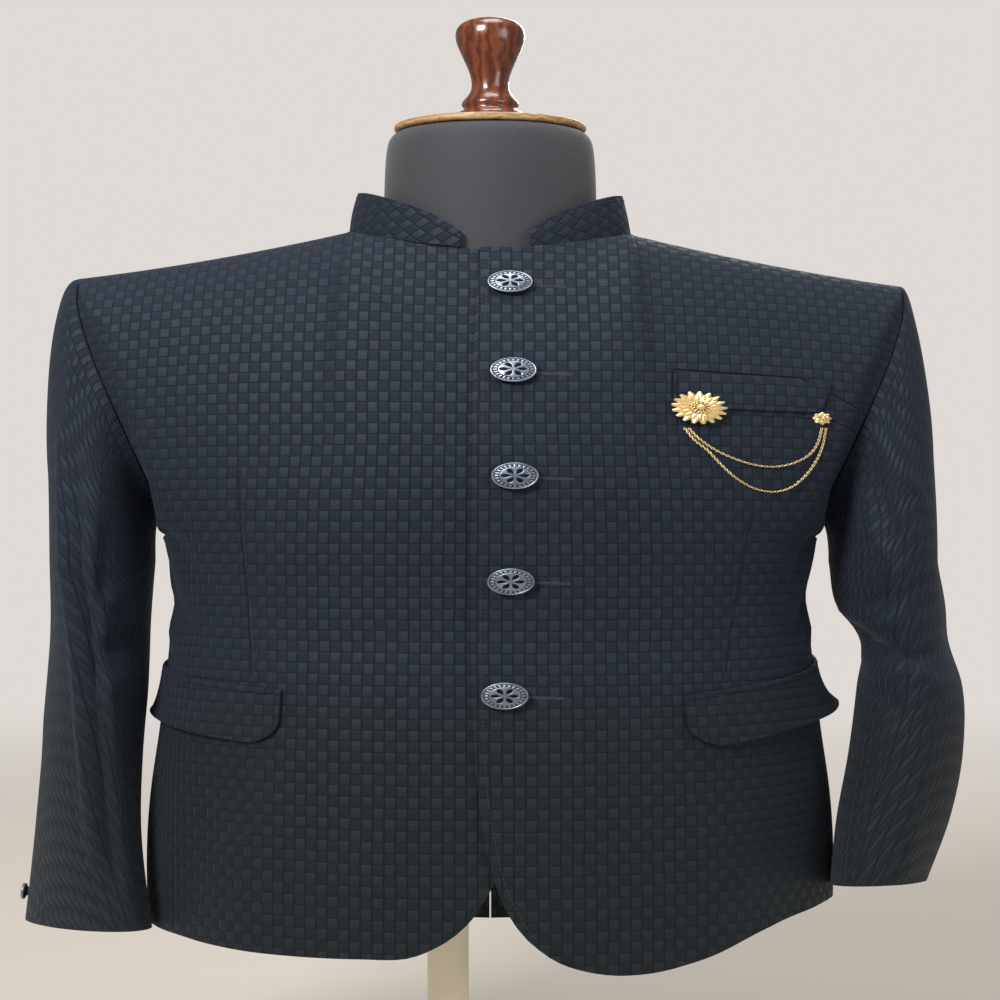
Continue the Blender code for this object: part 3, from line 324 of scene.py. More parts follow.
# The angle of the front's point at x on each level.
seenAngles = np.linspace(-96, 96, 385)
seenLevels = np.linspace(-470, topLevel, 361)
seenGrid = bodyPoint(seenAngles[None, :], seenLevels[:, None])


def angleAt(x, level):
    found = []
    for oneX, oneLevel in zip(np.atleast_1d(x), np.atleast_1d(level)):
        row = np.interp(oneLevel, seenLevels, np.arange(len(seenLevels)))
        r = min(int(row), len(seenLevels) - 2)
        xs = seenGrid[r, :, 0] * (r + 1 - row) + seenGrid[r + 1, :, 0] * (row - r)
        found.append(np.interp(oneX, xs, seenAngles))
    return np.array(found)


# The angle and level of the front's point that is seen at x and z
def locate(place):
    angles, heights = [], []
    for row in seenGrid:
        angle = np.interp(place[0], row[:, 0], seenAngles)
        angles.append(angle)
        heights.append(np.interp(angle, seenAngles, row[:, 2]))
    level = np.interp(place[1], heights, seenLevels)
    return np.array([np.interp(level, seenLevels, angles), level])


def smoothStep(value, start, end):
    t = np.clip((value - start) / (end - start), 0, 1)
    return t * t * (3 - 2 * t)


# How far a front stands off the body's surface where the two overlap.
def frontLift(x, over):
    if over:
        return overlapLift * (1 - smoothStep(x, *overSettles))
    return -overlapLift * smoothStep(x, *underSettles)


def sleeveRing(rows, turn, height, side):
    turnR = np.radians(turn)
    wide = along(rows, "halfWidth", height) * np.cos(turnR)
    deep = along(rows, "halfDepth", height) * np.sin(turnR)
    twist = np.radians(along(rows, "turn", height))
    x = wide * np.cos(twist) - deep * np.sin(twist)
    y = -deep * np.cos(twist) - wide * np.sin(twist)
    z = height - along(rows, "rise", height) * x - along(rows, "pitch", height) * y
    x = along(rows, "x", height) + x
    y = along(rows, "y", height) + y
    return np.stack([side * x, y, z], -1)


sleeveHead = {
    "underReach": 30.0,  # mm, as capReach but under the arm
    "spread": 0.7,
    "lean": 10.0,  # mm to the front and back
    "rise": 4.0,  # mm up before it falls
    "startFall": 0.3,  # shares of the drop
    "endFall": 1.2,
}


# A point of the sleeve: level 0 to 1 is the head, from the armhole to the first ring, 1 to 2 the rest.
def sleevePoint(rows, turn, level, side):
    turn, level = np.broadcast_arrays(np.asarray(turn, float), np.asarray(level, float))
    first, last = rows[0].height, rows[-1].height
    ring = sleeveRing(rows, turn, first + (last - first) * np.clip(level - 1, 0, 1), side)
    foot = sleeveRing(rows, turn, np.full(turn.shape, float(first)), side)
    arm, _, _ = armholePoint(turn / 180 - 1)
    arm[..., 0] *= side
    arm[..., 2] += shoulderTilt * arm[..., 0]
    topShare = np.clip(np.cos(np.radians(turn)), 0, 1)
    arm[..., 0] += side * sleeveStandsOff
    drop = np.maximum(arm[..., 2] - foot[..., 2], 1.0)
    t = np.clip(level, 0, 1)[..., None]
    capMore = capReach["left" if side > 0 else "right"] - sleeveHead["underReach"]
    reach = sleeveHead["underReach"] + capMore * topShare ** sleeveHead["spread"]
    sideways = -sleeveHead["lean"] * np.sin(np.radians(turn))
    rise = sleeveHead["rise"] - sleeveHead["startFall"] * drop * (1 - topShare)
    start = np.stack([side * reach, sideways, rise], -1)
    end = np.stack([0 * drop, 0 * drop, -drop * sleeveHead["endFall"]], -1)
    head = (1 + 2 * t) * (1 - t) ** 2 * arm + t * (1 - t) ** 2 * start
    head = head + t * t * (3 - 2 * t) * foot - t * t * (1 - t) * end
    return np.where((level < 1)[..., None], head, ring)


# Points of the sleeve and the directions out of it.
def sleeveCloth(rows, turn, level, side):
    turn, level = np.broadcast_arrays(turn, level)
    grid = sleevePoint(rows, np.mod(turn, 360), level, side)
    ahead = sleevePoint(rows, np.mod(turn + 1, 360), level, side)
    behind = sleevePoint(rows, np.mod(turn - 1, 360), level, side)
    lower = sleevePoint(rows, np.mod(turn, 360), np.minimum(level + 0.02, 2), side)
    upper = sleevePoint(rows, np.mod(turn, 360), np.maximum(level - 0.02, 0), side)
    normal = np.cross(upper - lower, ahead - behind) * side
    return grid, normal / np.maximum(np.linalg.norm(normal, axis=-1, keepdims=True), 1e-12)


# A grid of (distance round, level) for a pocket's flap, welt or jetting.
def stripGrid(strip, sign, rows, columns, drop=0.0, depth=None):
    depth = strip.depth if depth is None else depth
    innerAngle, innerLevel = locate((strip.innerX, strip.innerZ))
    outerAngle, outerLevel = locate((strip.outerX, strip.outerZ))
    past = flapPastSide if strip.standOff else 0.0
    slope = (outerLevel - innerLevel) / abs(outerAngle - innerAngle)
    outerAngle += sign * past
    outerLevel += slope * past
    s = np.linspace(0, 1, columns)[None, :]
    v = 1 - (1 - np.linspace(0, 1, rows)[:, None]) ** rowCrowding
    nearFoot = np.maximum(v * depth - (depth - strip.corner), 0) / strip.corner
    inset = strip.corner * (1 - np.sqrt(np.maximum(1 - nearFoot ** 2, 0.01)))
    inset = inset if depth == strip.depth else 0 * inset
    start = innerAngle * girthMm + sign * inset
    end = outerAngle * girthMm - sign * inset
    alongRow = start + (end - start) * s
    level = innerLevel + (outerLevel - innerLevel) * s - drop - v * depth
    return np.stack([alongRow + 0 * level, level], -1), s, v


# Where something sits on the over front: its centre's place on the cloth and the direction out of it.
def onFront(place, lift):
    angle, level = locate(place)
    step = 1.0
    here = bodyPoint(angle, level)
    across = bodyPoint(angle + step, level) - bodyPoint(angle - step, level)
    upward = bodyPoint(angle, level + step) - bodyPoint(angle, level - step)
    normal = np.cross(across, upward)
    normal /= np.linalg.norm(normal)
    if normal[1] > 0:
        normal = -normal
    off = lift + float(frontLift(np.array(here[0]), True))
    return Vector(world(here + normal * off * 1000)), Vector(normal)


# Shader nodes

class Wire:
    def __init__(self, shop, socket):
        self.shop = shop
        self.socket = socket

    def calc(self, operation, other=0.0, flip=False):
        first, second = (other, self) if flip else (self, other)
        return self.shop.node("ShaderNodeMath", {"operation": operation}, {0: first, 1: second})

    def __add__(self, other):
        return self.calc("ADD", other)

    def __sub__(self, other):
        return self.calc("SUBTRACT", other)

    def __rsub__(self, other):
        return self.calc("SUBTRACT", other, True)

    def __mul__(self, other):
        return self.calc("MULTIPLY", other)

    def __truediv__(self, other):
        return self.calc("DIVIDE", other)

    def __mod__(self, other):
        return self.calc("FLOORED_MODULO", other)

    __radd__ = __add__
    __rmul__ = __mul__

    def size(self):
        return self.calc("ABSOLUTE")

    def above(self, other):
        return self.calc("GREATER_THAN", other)

    def inside(self, low, high):
        values = {"Value": self, "From Min": low, "From Max": high}
        return self.shop.node("ShaderNodeMapRange", {"interpolation_type": "SMOOTHSTEP"}, values)


class Shop:
    def __init__(self, name, **fixed):
        self.material = bpy.data.materials.new(name)
        self.material.use_nodes = True
        self.tree = self.material.node_tree
        self.shader = self.tree.nodes["Principled BSDF"]
        for socket, value in fixed.items():
            self.shader.inputs[socket.replace("_", " ")].default_value = value

    def node(self, kind, settings=None, values=None, out=0):
        made = self.tree.nodes.new(kind)
        for name, value in (settings or {}).items():
            if name == "stops":
                while len(made.color_ramp.elements) < len(value):
                    made.color_ramp.elements.new(0.5)
                for stop, (place, tone) in zip(made.color_ramp.elements, value):
                    stop.position = place
                    stop.color = (*tone, 1.0)
            else:
                setattr(made, name, value)
        for name, value in (values or {}).items():
            self.join(made.inputs[name], value)
        return Wire(self, made.outputs[out])

    def join(self, socket, value):
        if isinstance(value, Wire):
            self.tree.links.new(value.socket, socket)
        else:
            socket.default_value = value

    def set(self, socket, value):
        self.join(self.shader.inputs[socket], value)

    def noise(self, where, scale, detail=3.0, rough=0.55):
        values = {"Vector": where, "Scale": scale, "Detail": detail, "Roughness": rough}
        return self.node("ShaderNodeTexNoise", None, values)

    def tint(self, share, first, second):
        values = {0: share, 6: (*first, 1.0) if isinstance(first, tuple) else first}
        values[7] = (*second, 1.0) if isinstance(second, tuple) else second
        return self.node("ShaderNodeMix", {"data_type": "RGBA"}, values, 2)

    def bump(self, height, distance, strength=1.0):
        values = {"Height": height, "Distance": distance, "Strength": strength}
        self.set("Normal", self.node("ShaderNodeBump", None, values))

    def place(self):
        return self.node("ShaderNodeTexCoord", None, None, 3)

    def attribute(self, name, out=1):
        return self.node("ShaderNodeAttribute", {"attribute_name": name}, None, out)

    def split(self, vector):
        first = self.node("ShaderNodeSeparateXYZ", None, {0: vector})
        outputs = first.socket.node.outputs
        return [Wire(self, outputs[k]) for k in range(3)]


# The cloth is woven in small tiles that lie like a chequerboard, every other one standing up as a float
weave = {
    "tileWidth": 5.8,  # mm
    "tileHeight": 9.8,
    "thread": 0.85,  # mm from one thread to the next
    "sideSoft": 0.42,  # how far a tile's edge rounds down, as a share of the tile's crown
    "endSoft": 0.34,
    "contrast": 0.21,  # of the raised tiles against the others
    # deep is the dark end of the tone, which the painted shade at every tile's edge reaches; raised is the light end
    "deep": (0.0030, 0.0052, 0.0092),
    "raised": (0.0190, 0.0300, 0.0500),
    # darker, greener colours for the jacket's lower part: a painted shadow falling across it
    "shadowDeep": (0.0030, 0.0052, 0.0066),
    "shadowRaised": (0.0155, 0.0222, 0.0272),
    "shadowStart": -130.0,  # mm, where the painted shadow over the lower part begins
    "shadowEnd": -250.0,
    "relief": 0.0007,  # metres
}


def segmentLine(u, v, start, end, width):
    du, dv = end[0] - start[0], end[1] - start[1]
    length = math.hypot(du, dv)
    fromU, fromV = u - start[0], v - start[1]
    way = (fromU * du + fromV * dv) / length ** 2
    off = (fromU * dv - fromV * du) / length
    near = 1 - off.size().inside(0.0, width)
    return near * way.above(0.0) * (1 - way.above(1.0))


def clothMaterial(name, darts=()):
    sheen = {"Sheen_Weight": 0.08, "Sheen_Roughness": 0.45, "Sheen_Tint": (0.55, 0.66, 0.85, 1.0)}
    shop = Shop(name, Specular_IOR_Level=0.22, **sheen)
    u, v, _ = shop.split(shop.attribute("lay"))
    where = shop.place()
    drift = shop.noise(where, 14.0) - 0.5
    u, v = u + drift * 2.0, v + drift * 1.4
    cellU, cellV = u / weave["tileWidth"], v / weave["tileHeight"]
    acrossTile, upTile = cellU % 1.0, cellV % 1.0
    parity = (cellU.calc("FLOOR") + cellV.calc("FLOOR")) % 2.0
    sideEdge = (acrossTile * (1 - acrossTile) * 4).inside(0.0, weave["sideSoft"])
    endEdge = (upTile * (1 - upTile) * 4).inside(0.0, weave["endSoft"])
    pillow = sideEdge * endEdge
    threadTurn = 2 * math.pi / weave["thread"]
    wefts, warps = (v * threadTurn).calc("SINE"), (u * threadTurn).calc("SINE")
    threads = wefts * parity + warps * (1 - parity)
    crown = (upTile * (1 - upTile) * 4) * 0.5 + 0.5
    height = pillow * crown * (parity * 0.50 + 0.50) + threads * 0.03
    fuzz = shop.noise(where, 900.0, 2.0)
    patches = shop.noise(where, 30.0)
    # tone: darker towards each tile's edges, painted shade in the grooves between tiles, and lighter towards each
    # tile's top, painted light from above; raised tiles a little lighter, with random fuzz and patches
    tone = pillow * (parity * weave["contrast"] + 0.30) * (upTile * 0.35 + 0.75)
    tone = tone + fuzz * 0.14 + patches * 0.16 + threads * 0.02
    upper = shop.tint(tone, weave["deep"], weave["raised"])
    # painted shadow: below the chest the cloth takes the darker, greener colours, with a wandering edge
    lower = shop.tint(tone, weave["shadowDeep"], weave["shadowRaised"])
    _, _, z = shop.split(where)
    wander = (shop.noise(where, 9.0) - 0.5) * 0.10
    low = 1 - (z + wander).inside(chestLine + weave["shadowEnd"] / 1000, chestLine + weave["shadowStart"] / 1000)
    colour = shop.tint(low, upper, lower)
    # each dart and welt line is sunk by bump and darkened with painted shade along its groove
    for start, end in darts:
        line = segmentLine(u, v, start, end, 1.7)
        height = height - line * 1.6
        colour = shop.tint(line * 0.75, colour, (0.003, 0.004, 0.006))
    shop.set("Base Color", colour)
    shop.set("Roughness", 0.80 - pillow * parity * 0.18)
    shop.bump(height, weave["relief"])
    return shop.material


def threadMaterial(name, colour):
    shop = Shop(name, Sheen_Weight=0.2)
    where = shop.place()
    shop.set("Base Color", shop.tint(shop.noise(where, 1500.0), tuple(c * 0.55 for c in colour), colour))
    shop.set("Roughness", shop.noise(where, 400.0) * 0.2 + 0.5)
    return shop.material


def metalMaterial(name, bright, dark, rough, metallic=1.0):
    shop = Shop(name, Metallic=metallic)
    where = shop.place()
    _, _, recess = shop.split(shop.attribute("recess"))
    wear = shop.noise(where, 260.0)
    shop.set("Base Color", shop.tint(recess, shop.tint(wear, tuple(c * 0.78 for c in bright), bright), dark))
    shop.set("Roughness", wear * 0.16 + recess * 0.25 + rough)
    shop.bump(shop.noise(where, 1800.0), 0.00004)
    return shop.material


def coverMaterial():
    shop = Shop("form_cover", Sheen_Weight=0.25, Sheen_Roughness=0.5)
    where = shop.place()
    x, y, z = shop.split(where)
    ribs = (x * 2600.0).calc("SINE") * (z * 2300.0).calc("SINE")
    soft = shop.noise(where, 22.0)
    colour = shop.tint(soft, (0.024, 0.026, 0.034), (0.048, 0.050, 0.061))
    shop.set("Base Color", shop.tint(shop.noise(where, 700.0) * 0.5, colour, (0.022, 0.023, 0.030)))
    shop.set("Roughness", soft * 0.15 + 0.66)
    shop.bump(ribs * 0.5 + shop.noise(where, 500.0), 0.00016)
    return shop.material


def woodMaterial(name, dark, light, rough, coat, rings):
    shop = Shop(name, Coat_Roughness=0.08)
    where = shop.place()
    x, y, z = shop.split(where)
    settings = {"wave_type": "RINGS" if rings else "BANDS"}
    settings["rings_direction" if rings else "bands_direction"] = "X"
    lengthwise = 1.0 if rings else 0.35
    stretched = shop.node("ShaderNodeMapping", None, {"Vector": where, "Scale": (1.0, 1.0, lengthwise)})
    values = {"Vector": stretched, "Scale": 55.0, "Distortion": 7.0, "Detail": 4.0, "Detail Scale": 2.5}
    grain = shop.node("ShaderNodeTexWave", settings, values)
    fine = shop.noise(stretched, 420.0)
    shop.set("Base Color", shop.tint(grain * 0.7 + fine * 0.3, dark, light))
    shop.set("Roughness", fine * 0.12 + rough)
    shop.set("Coat Weight", coat)
    shop.bump(grain + fine * 0.4, 0.00006)
    return shop.material


def paintMaterial():
    shop = Shop("stand_enamel", Coat_Weight=0.25, Coat_Roughness=0.15)
    where = shop.place()
    soft = shop.noise(where, 30.0)
    shop.set("Base Color", shop.tint(soft, (0.90, 0.80, 0.61), (0.97, 0.88, 0.70)))
    shop.set("Roughness", soft * 0.12 + 0.34)
    shop.bump(shop.noise(where, 240.0), 0.00008)
    return shop.material


def meshObject(name, vertices, faces, finish, sharp=40, attributes=None):
    mesh = bpy.data.meshes.new(name)
    mesh.from_pydata([tuple(v) for v in vertices], [], faces)
    work = bmesh.new()
    work.from_mesh(mesh)
    bmesh.ops.recalc_face_normals(work, faces=work.faces)
    work.to_mesh(mesh)
    work.free()
    mesh.materials.append(finish)
    mesh.shade_smooth()
    mesh.set_sharp_from_angle(angle=math.radians(sharp))
    for key, values in (attributes or {}).items():
        layer = mesh.attributes.new(key, "FLOAT_VECTOR", "POINT")
        layer.data.foreach_set("vector", np.asarray(values, np.float32).ravel())
    made = bpy.data.objects.new(name, mesh)
    bpy.context.scene.collection.objects.link(made)
    return made


def gridFaces(rows, columns):
    count = rows * columns
    faces = []
    for r in range(rows - 1):
        for c in range(columns - 1):
            a = r * columns + c
            faces.append((a, a + 1, a + 1 + columns, a + columns))
            faces.append((count + a, count + a + columns, count + a + 1 + columns, count + a + 1))
    for c in range(columns - 1):
        a, b = c, (rows - 1) * columns + c
        faces.append((a + 1, a, count + a, count + a + 1))
        faces.append((b, b + 1, count + b + 1, count + b))
    for r in range(rows - 1):
        a, b = r * columns, r * columns + columns - 1
        faces.append((a, a + columns, count + a + columns, count + a))
        faces.append((b + columns, b, count + b, count + b + columns))
    return faces


def clothWallPiece(name, outer, inner, lay, finish, node, held, restsOn):
    rows, columns = outer.shape[:2]
    vertices = np.concatenate([outer.reshape(-1, 3), inner.reshape(-1, 3)])
    flatLay = np.concatenate([lay.reshape(-1, 2)] * 2)
    flatLay = np.concatenate([flatLay, np.zeros((len(flatLay), 1))], 1)
    piece = meshObject(name, vertices, gridFaces(rows, columns), finish, 50, {"lay": flatLay})
    declare(piece, node)
    if not held:  # a strip too narrow to be a sheet by itself is returned like any other piece
        return piece
    return piece


def declare(piece, node):
    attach(piece, "root")
    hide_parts(node)
    return piece


# Creases, listed one by one. Angles are degrees round the body, levels millimetres from the chest line; a trough has a
# depth below zero, a ridge one above. bow bends the line sideways at its middle.
Crease = namedtuple("Crease", "angle level endAngle endLevel width depth bow")
bodyCreases = [Crease(*row) for row in (
    (-84, 6, -60, -62, 9, -2.6, 8), (-76, 16, -52, -30, 7, 1.5, 6), (-88, -30, -66, -104, 12, -2.0, -8),
    (84, 2, 63, -70, 10, -2.4, -9), (77, 20, 55, -24, 7, 1.3, -5), (90, -42, 69, -118, 13, -2.2, 7),
    (-62, 128, -70, 60, 8, -1.4, 5), (-57, 150, -63, 92, 6, 1.2, 3), (63, 118, 71, 52, 9, -1.5, -6),
    (58, 140, 65, 84, 6, 1.0, -4), (2, -34, 13, -37, 6, -1.2, 2), (6, 60, 24, 66, 9, -0.9, 4),
    (-6, -118, -30, -130, 14, -1.3, 6), (8, -118, 34, -132, 15, -1.4, -6),
    (-92, -96, -58, -132, 11, -2.1, 9), (-90, -122, -64, -150, 9, 1.4, 6),
    (93, -92, 62, -128, 12, -2.0, -8), (92, -120, 66, -146, 9, 1.3, -5), (-37, -404, -33, -262, 17, 2.2, 6),
    (-58, -402, -52, -285, 19, -2.6, -5), (-80, -398, -76, -250, 20, 2.4, 7),
    (34, -400, 30, -270, 18, 2.0, -6), (55, -396, 49, -300, 20, -2.4, 5), (79, -392, 75, -246, 21, 2.3, -7),
    (12, -398, 14, -300, 14, -1.2, 3), (22, -250, 20, -200, 16, 0.8, 2), (-16, -388, -15, -300, 13, 1.0, 2),
    (112, 96, 148, 40, 12, -1.8, 9), (108, 60, 136, 8, 9, 1.5, 7), (104, 22, 132, -48, 13, -2.2, -6),
    (-110, 104, -144, 52, 11, -1.7, -8), (-106, 58, -139, -2, 10, 1.6, -6),
    (-102, 18, -128, -58, 14, -2.1, 7), (172, -92, 118, -110, 13, -2.3, 8),
    (176, -118, 128, -140, 11, 1.8, -6), (-168, -86, -121, -112, 14, -2.5, -9),
    (-176, -124, -126, -146, 10, 1.6, 7), (150, -440, 154, -250, 22, 2.8, 8),
    (128, -420, 124, -262, 20, -2.4, -7), (-146, -442, -151, -246, 23, 3.0, -9),
    (-122, -424, -118, -268, 19, -2.2, 6), (170, -446, 168, -300, 16, -1.8, 4),
    (-173, -446, -170, -290, 15, 1.6, -4), (168, 150, 140, 132, 14, -1.1, 6),
    (-166, 158, -138, 128, 13, -1.2, -7), (24, 40, 42, 12, 16, -0.8, 5), (-22, 30, -44, -6, 17, -0.8, -6),
    (44, -60, 40, -150, 15, -1.0, 4), (-43, -52, -41, -160, 15, -1.0, -4),
    (100, -250, 106, -160, 14, 1.5, 5), (-101, -262, -107, -170, 13, 1.4, -5),
)]
# On the sleeves the angle turns from the outer fold through the front, and the level is a height
sleeveCreasesLeft = [Crease(*row) for row in (
    (168, -128, 62, -146, 8, -4.6, 9), (160, -108, 70, -112, 7, 2.6, 7), (158, -150, 58, -176, 8, 2.8, -8),
    (140, -88, 66, -78, 8, -2.4, 10), (150, -186, 72, -214, 10, -2.4, -9), (112, 30, 74, -60, 9, -2.6, 8),
    (96, 60, 62, 0, 8, 1.8, 5), (128, 4, 92, -70, 8, 1.7, 6), (64, 150, 74, 60, 9, -2.0, 4),
    (52, 160, 58, 96, 7, 1.5, 3), (98, -240, 70, -330, 12, -2.0, 8), (60, -226, 52, -340, 13, 1.7, 5),
    (300, -120, 236, -140, 10, -3.2, 9), (306, -146, 240, -172, 9, 2.2, -8),
    (294, -92, 240, -96, 9, -2.0, 6), (286, 60, 262, -50, 11, -2.3, 7), (318, 100, 300, 10, 10, 1.8, 5),
    (280, -210, 300, -330, 13, -1.9, -6), (20, 40, 14, -110, 16, -1.6, 5),
    (338, -30, 344, -180, 15, 1.5, 4), (196, -150, 232, -128, 9, -2.2, 5),
)]
sleeveCreasesRight = [Crease(*row) for row in (
    (58, 60, 66, -330, 7, 2.6, 6), (76, 40, 82, -340, 8, -3.2, 7), (100, 20, 108, -300, 11, 1.6, -6),
    (60, 163, 72, 108, 8, -2.6, 4), (50, 150, 60, 90, 6, 1.5, 3), (110, -40, 88, -112, 8, -2.4, 7),
    (150, -130, 84, -158, 9, -2.6, -8), (146, -160, 90, -188, 8, 1.9, -6), (132, -78, 98, -96, 8, 1.5, 5),
    (96, -250, 74, -360, 13, -1.8, 7), (296, -126, 234, -150, 10, -3.0, 9),
    (302, -152, 240, -180, 9, 2.0, -7), (288, 50, 264, -56, 11, -2.2, 6), (316, 96, 302, 0, 10, 1.7, 5),
    (278, -220, 298, -350, 13, -2.0, -6), (22, 20, 16, -150, 16, -1.7, 5),
    (336, -50, 342, -220, 15, 1.6, -4), (198, -160, 232, -134, 9, -2.0, 5),
)]
sleeveTile = 0.8  # the sleeves' tiles are a little wider, as they show from the front
sleeveDepth = 1.5  # how much deeper the sleeves' creases lie than their table says
shoulderStart, shoulderEnd = 60.0, 150.0  # mm, troughs end here, because the cloth lies on the form above


def creaseLift(creases, across, level, acrossScale):
    total = np.zeros(np.broadcast(across, level).shape)
    for row in creases:
        turnAway = (across - row.angle + 180) % 360 - 180 + row.angle
        x, y = turnAway * acrossScale, level
        startX, endX = row.angle * acrossScale, row.endAngle * acrossScale
        dx, dy = endX - startX, row.endLevel - row.level
        length = math.hypot(dx, dy)
        way = ((x - startX) * dx + (y - row.level) * dy) / length ** 2
        off = ((x - startX) * dy - (y - row.level) * dx) / length
        off = off + row.bow * 4 * np.clip(way, 0, 1) * (1 - np.clip(way, 0, 1))
        beyond = np.maximum(np.maximum(-way, way - 1), 0) * length / (row.width * 1.8)
        fade = np.exp(-beyond ** 2) * (0.35 + 0.65 * np.sin(np.pi * np.clip(way * 0.84 + 0.08, 0, 1)))
        total = total + row.depth * np.exp(-(off / row.width) ** 2) * fade
    return total


# Real distances on the jacket, round from the centre front or back and up from the chest line
layAngles = np.arange(0.0, 180.1, 1.5)
layLevels = np.concatenate([np.arange(-470.0, ringTop, 10.0), np.arange(ringTop, topLevel + 0.1, 5.0)])
layGrid = bodyPoint(layAngles[None, :], layLevels[:, None])
layRound = np.linalg.norm(np.diff(layGrid, axis=1), axis=2).cumsum(1)
layRound = np.concatenate([np.zeros((len(layLevels), 1)), layRound], 1)
layRises = np.linalg.norm(np.diff(layGrid, axis=0), axis=2).cumsum(0)
layUp = np.concatenate([np.zeros((1, len(layAngles))), layRises])
layUp = layUp - layUp[int(np.argmin(np.abs(layLevels - ringTop)))][None, :] + ringTop


grainStretch = 1.04  # mm of cloth for each mm across, above the chest line, where the grain runs straight up
grainLevels = (-60.0, 70.0)
backMiddle = 520.0  # mm, where the tiles are counted from at the centre back


def readLay(table, angle, level):
    a = np.interp(np.abs(angle), layAngles, np.arange(len(layAngles)))
    b = np.interp(level, layLevels, np.arange(len(layLevels)))
    c, r = np.minimum(a.astype(int), len(layAngles) - 2), np.minimum(b.astype(int), len(layLevels) - 2)
    s, t = a - c, b - r
    lower = table[r, c] * (1 - s) + table[r, c + 1] * s
    upper = table[r + 1, c] * (1 - s) + table[r + 1, c + 1] * s
    return lower * (1 - t) + upper * t


def bodyLay(angle, level):
    angle, level = np.asarray(angle, float), np.asarray(level, float)
    x = np.abs(bodyPoint(angle, level)[..., 0]) * grainStretch
    grain = smoothStep(level, *grainLevels)
    around = readLay(layRound, angle, level)
    fromBack = readLay(layRound, 180.0 + 0 * angle, level) - around
    front = around * (1 - grain) + x * grain
    back = backMiddle - fromBack * (1 - grain) - x * grain
    u = np.where(np.abs(angle) < armpit, front, back)
    return np.stack([np.sign(angle) * u, readLay(layUp, angle, level)], -1)


panel = {
    "columnStep": 1.4,  # degrees
    "closest": 0.45,
    "armholeColumns": 24,
    "frontRows": 92,
    "backRows": 90,
    "outlinePoints": 400,
    "seamSoft": 8.0,  # degrees either side of a side seam, where creases are weaker
    "seamShare": 0.6,
    "topFade": (30.0, 4.0),  # mm under the top line, where creases end
    "ridgeShare": 0.3,  # of a ridge that stays over the shoulders
}


def panelColumns(first, last):
    step = panel["columnStep"]
    shares = np.linspace(0, 1, panel["armholeColumns"]) ** (1 / armholeCrowding)
    arms = np.concatenate([armpit - (armpit - tipFront) * shares, armpit + (tipBack - armpit) * shares])
    kept = [first, last, *[a for a in (neckFront, tipFront, armpit, tipBack, neckBack) if first < a < last]]
    for angle in sorted(np.concatenate([np.arange(first, last, step), arms])):
        if first < angle < last and min(abs(angle - other) for other in kept) > panel["closest"]:
            kept.append(float(angle))
    return np.array(sorted(kept))


def panelPiece(name, plane, lift, finish, node, held, restsOn):
    angle, level = plane[..., 0] / girthMm, plane[..., 1]
    grid = bodyPoint(angle, level)
    normal = bodyNormal(angle, level)
    crease = creaseLift(bodyCreases, angle, level, girthMm)
    free = 1 - smoothStep(level, shoulderStart, shoulderEnd)
    ridge = panel["ridgeShare"]
    crease = np.where(crease < 0, crease * free, crease * (ridge + (1 - ridge) * free))
    fadeStart, fadeEnd = panel["topFade"]
    crease = crease * (1 - smoothStep(level, topLevel - fadeStart, topLevel - fadeEnd))
    fromSeam = (np.abs(angle) - sideSeam) / panel["seamSoft"]
    crease = crease * (1 - panel["seamShare"] * np.exp(-fromSeam ** 2))
    outer = grid + normal * (crease + np.asarray(lift) * 1000)[..., None]
    inner = outer - normal * clothWall * 1000
    return clothWallPiece(name, world(outer), world(inner), bodyLay(angle, level), finish, node, held, restsOn)


def frontPlane(edge, hem, sign):
    rows = panel["frontRows"]
    levels = np.array([row.level for row in edge], float)
    down = np.stack([angleAt([row.x for row in edge], levels), levels], -1)
    joined = np.concatenate([down, [(row.angle, row.level) for row in hem]]) * [girthMm, 1]
    outline = resample(joined, np.linspace(0, 1, panel["outlinePoints"]))
    corner = int(np.argmax(outline[:, 1] < frontCorner))
    up = upwardShares(rows)
    left = resample(outline[corner::-1], up)
    left[-1, 1] = topLevel - seamLevel
    first = sign * left[-1, 0] / girthMm
    columns = sign * panelColumns(first, sideSeam - seamAngle) * girthMm
    share = (columns - columns[0]) / (columns[-1] - columns[0])
    bottomX = left[0, 0] + (columns[-1] - left[0, 0]) * share
    low = outline[corner:]
    bottom = np.stack([bottomX, np.interp(bottomX * sign, low[:, 0] * sign, low[:, 1])], -1)
    bottom[0] = left[0]
    top = np.stack([columns, np.full(columns.shape, topLevel - seamLevel)], -1)
    rightLevel = bottom[-1, 1] + (topLevel - seamLevel - bottom[-1, 1]) * up
    right = np.stack([np.full(rows, columns[-1]), rightLevel], -1)
    return edgePatch(bottom, top, left, right, share, up)


def backPlane(hem, sign):
    columns = sign * panelColumns(sideSeam + seamAngle, 180 - seamAngle)
    knots = [Hem(abs(row.angle), row.level) for row in hem]
    bottom = along(knots, "level", np.abs(columns))[None, :]
    level = bottom + (topLevel - seamLevel - bottom) * upwardShares(panel["backRows"])[:, None]
    return np.stack([np.broadcast_to(columns * girthMm, level.shape), level], -1)


# x and z of the darts' ends and of the welt's sewn outline, seen from the front; the cloth is darkened along them with
# painted shade
dartsOver = [((133, -12), (126, -88)), ((126, -88), (120, -155))]
dartsUnder = [((-127, 29), (-124, -74)), ((-124, -74), (-121, -160))]
weltSides = [((93, 118.8), (92.6, 92)), ((177, 111.2), (176.8, 85))]
weltRims = [((93, 118.8), (177, 111.2)), ((93, 92), (177, 84))]


def inParts(line, parts=5):
    (startX, startZ), (endX, endZ) = line
    marks = []
    for k in range(parts + 1):
        marks.append((startX + (endX - startX) * k / parts, startZ + (endZ - startZ) * k / parts))
    return list(zip(marks[:-1], marks[1:]))


def dartLays(darts):
    found = []
    for start, end in darts:
        ends = [locate(place) for place in (start, end)]
        found.append([tuple(bodyLay(np.array(a), np.array(b))) for a, b in ends])
    return found


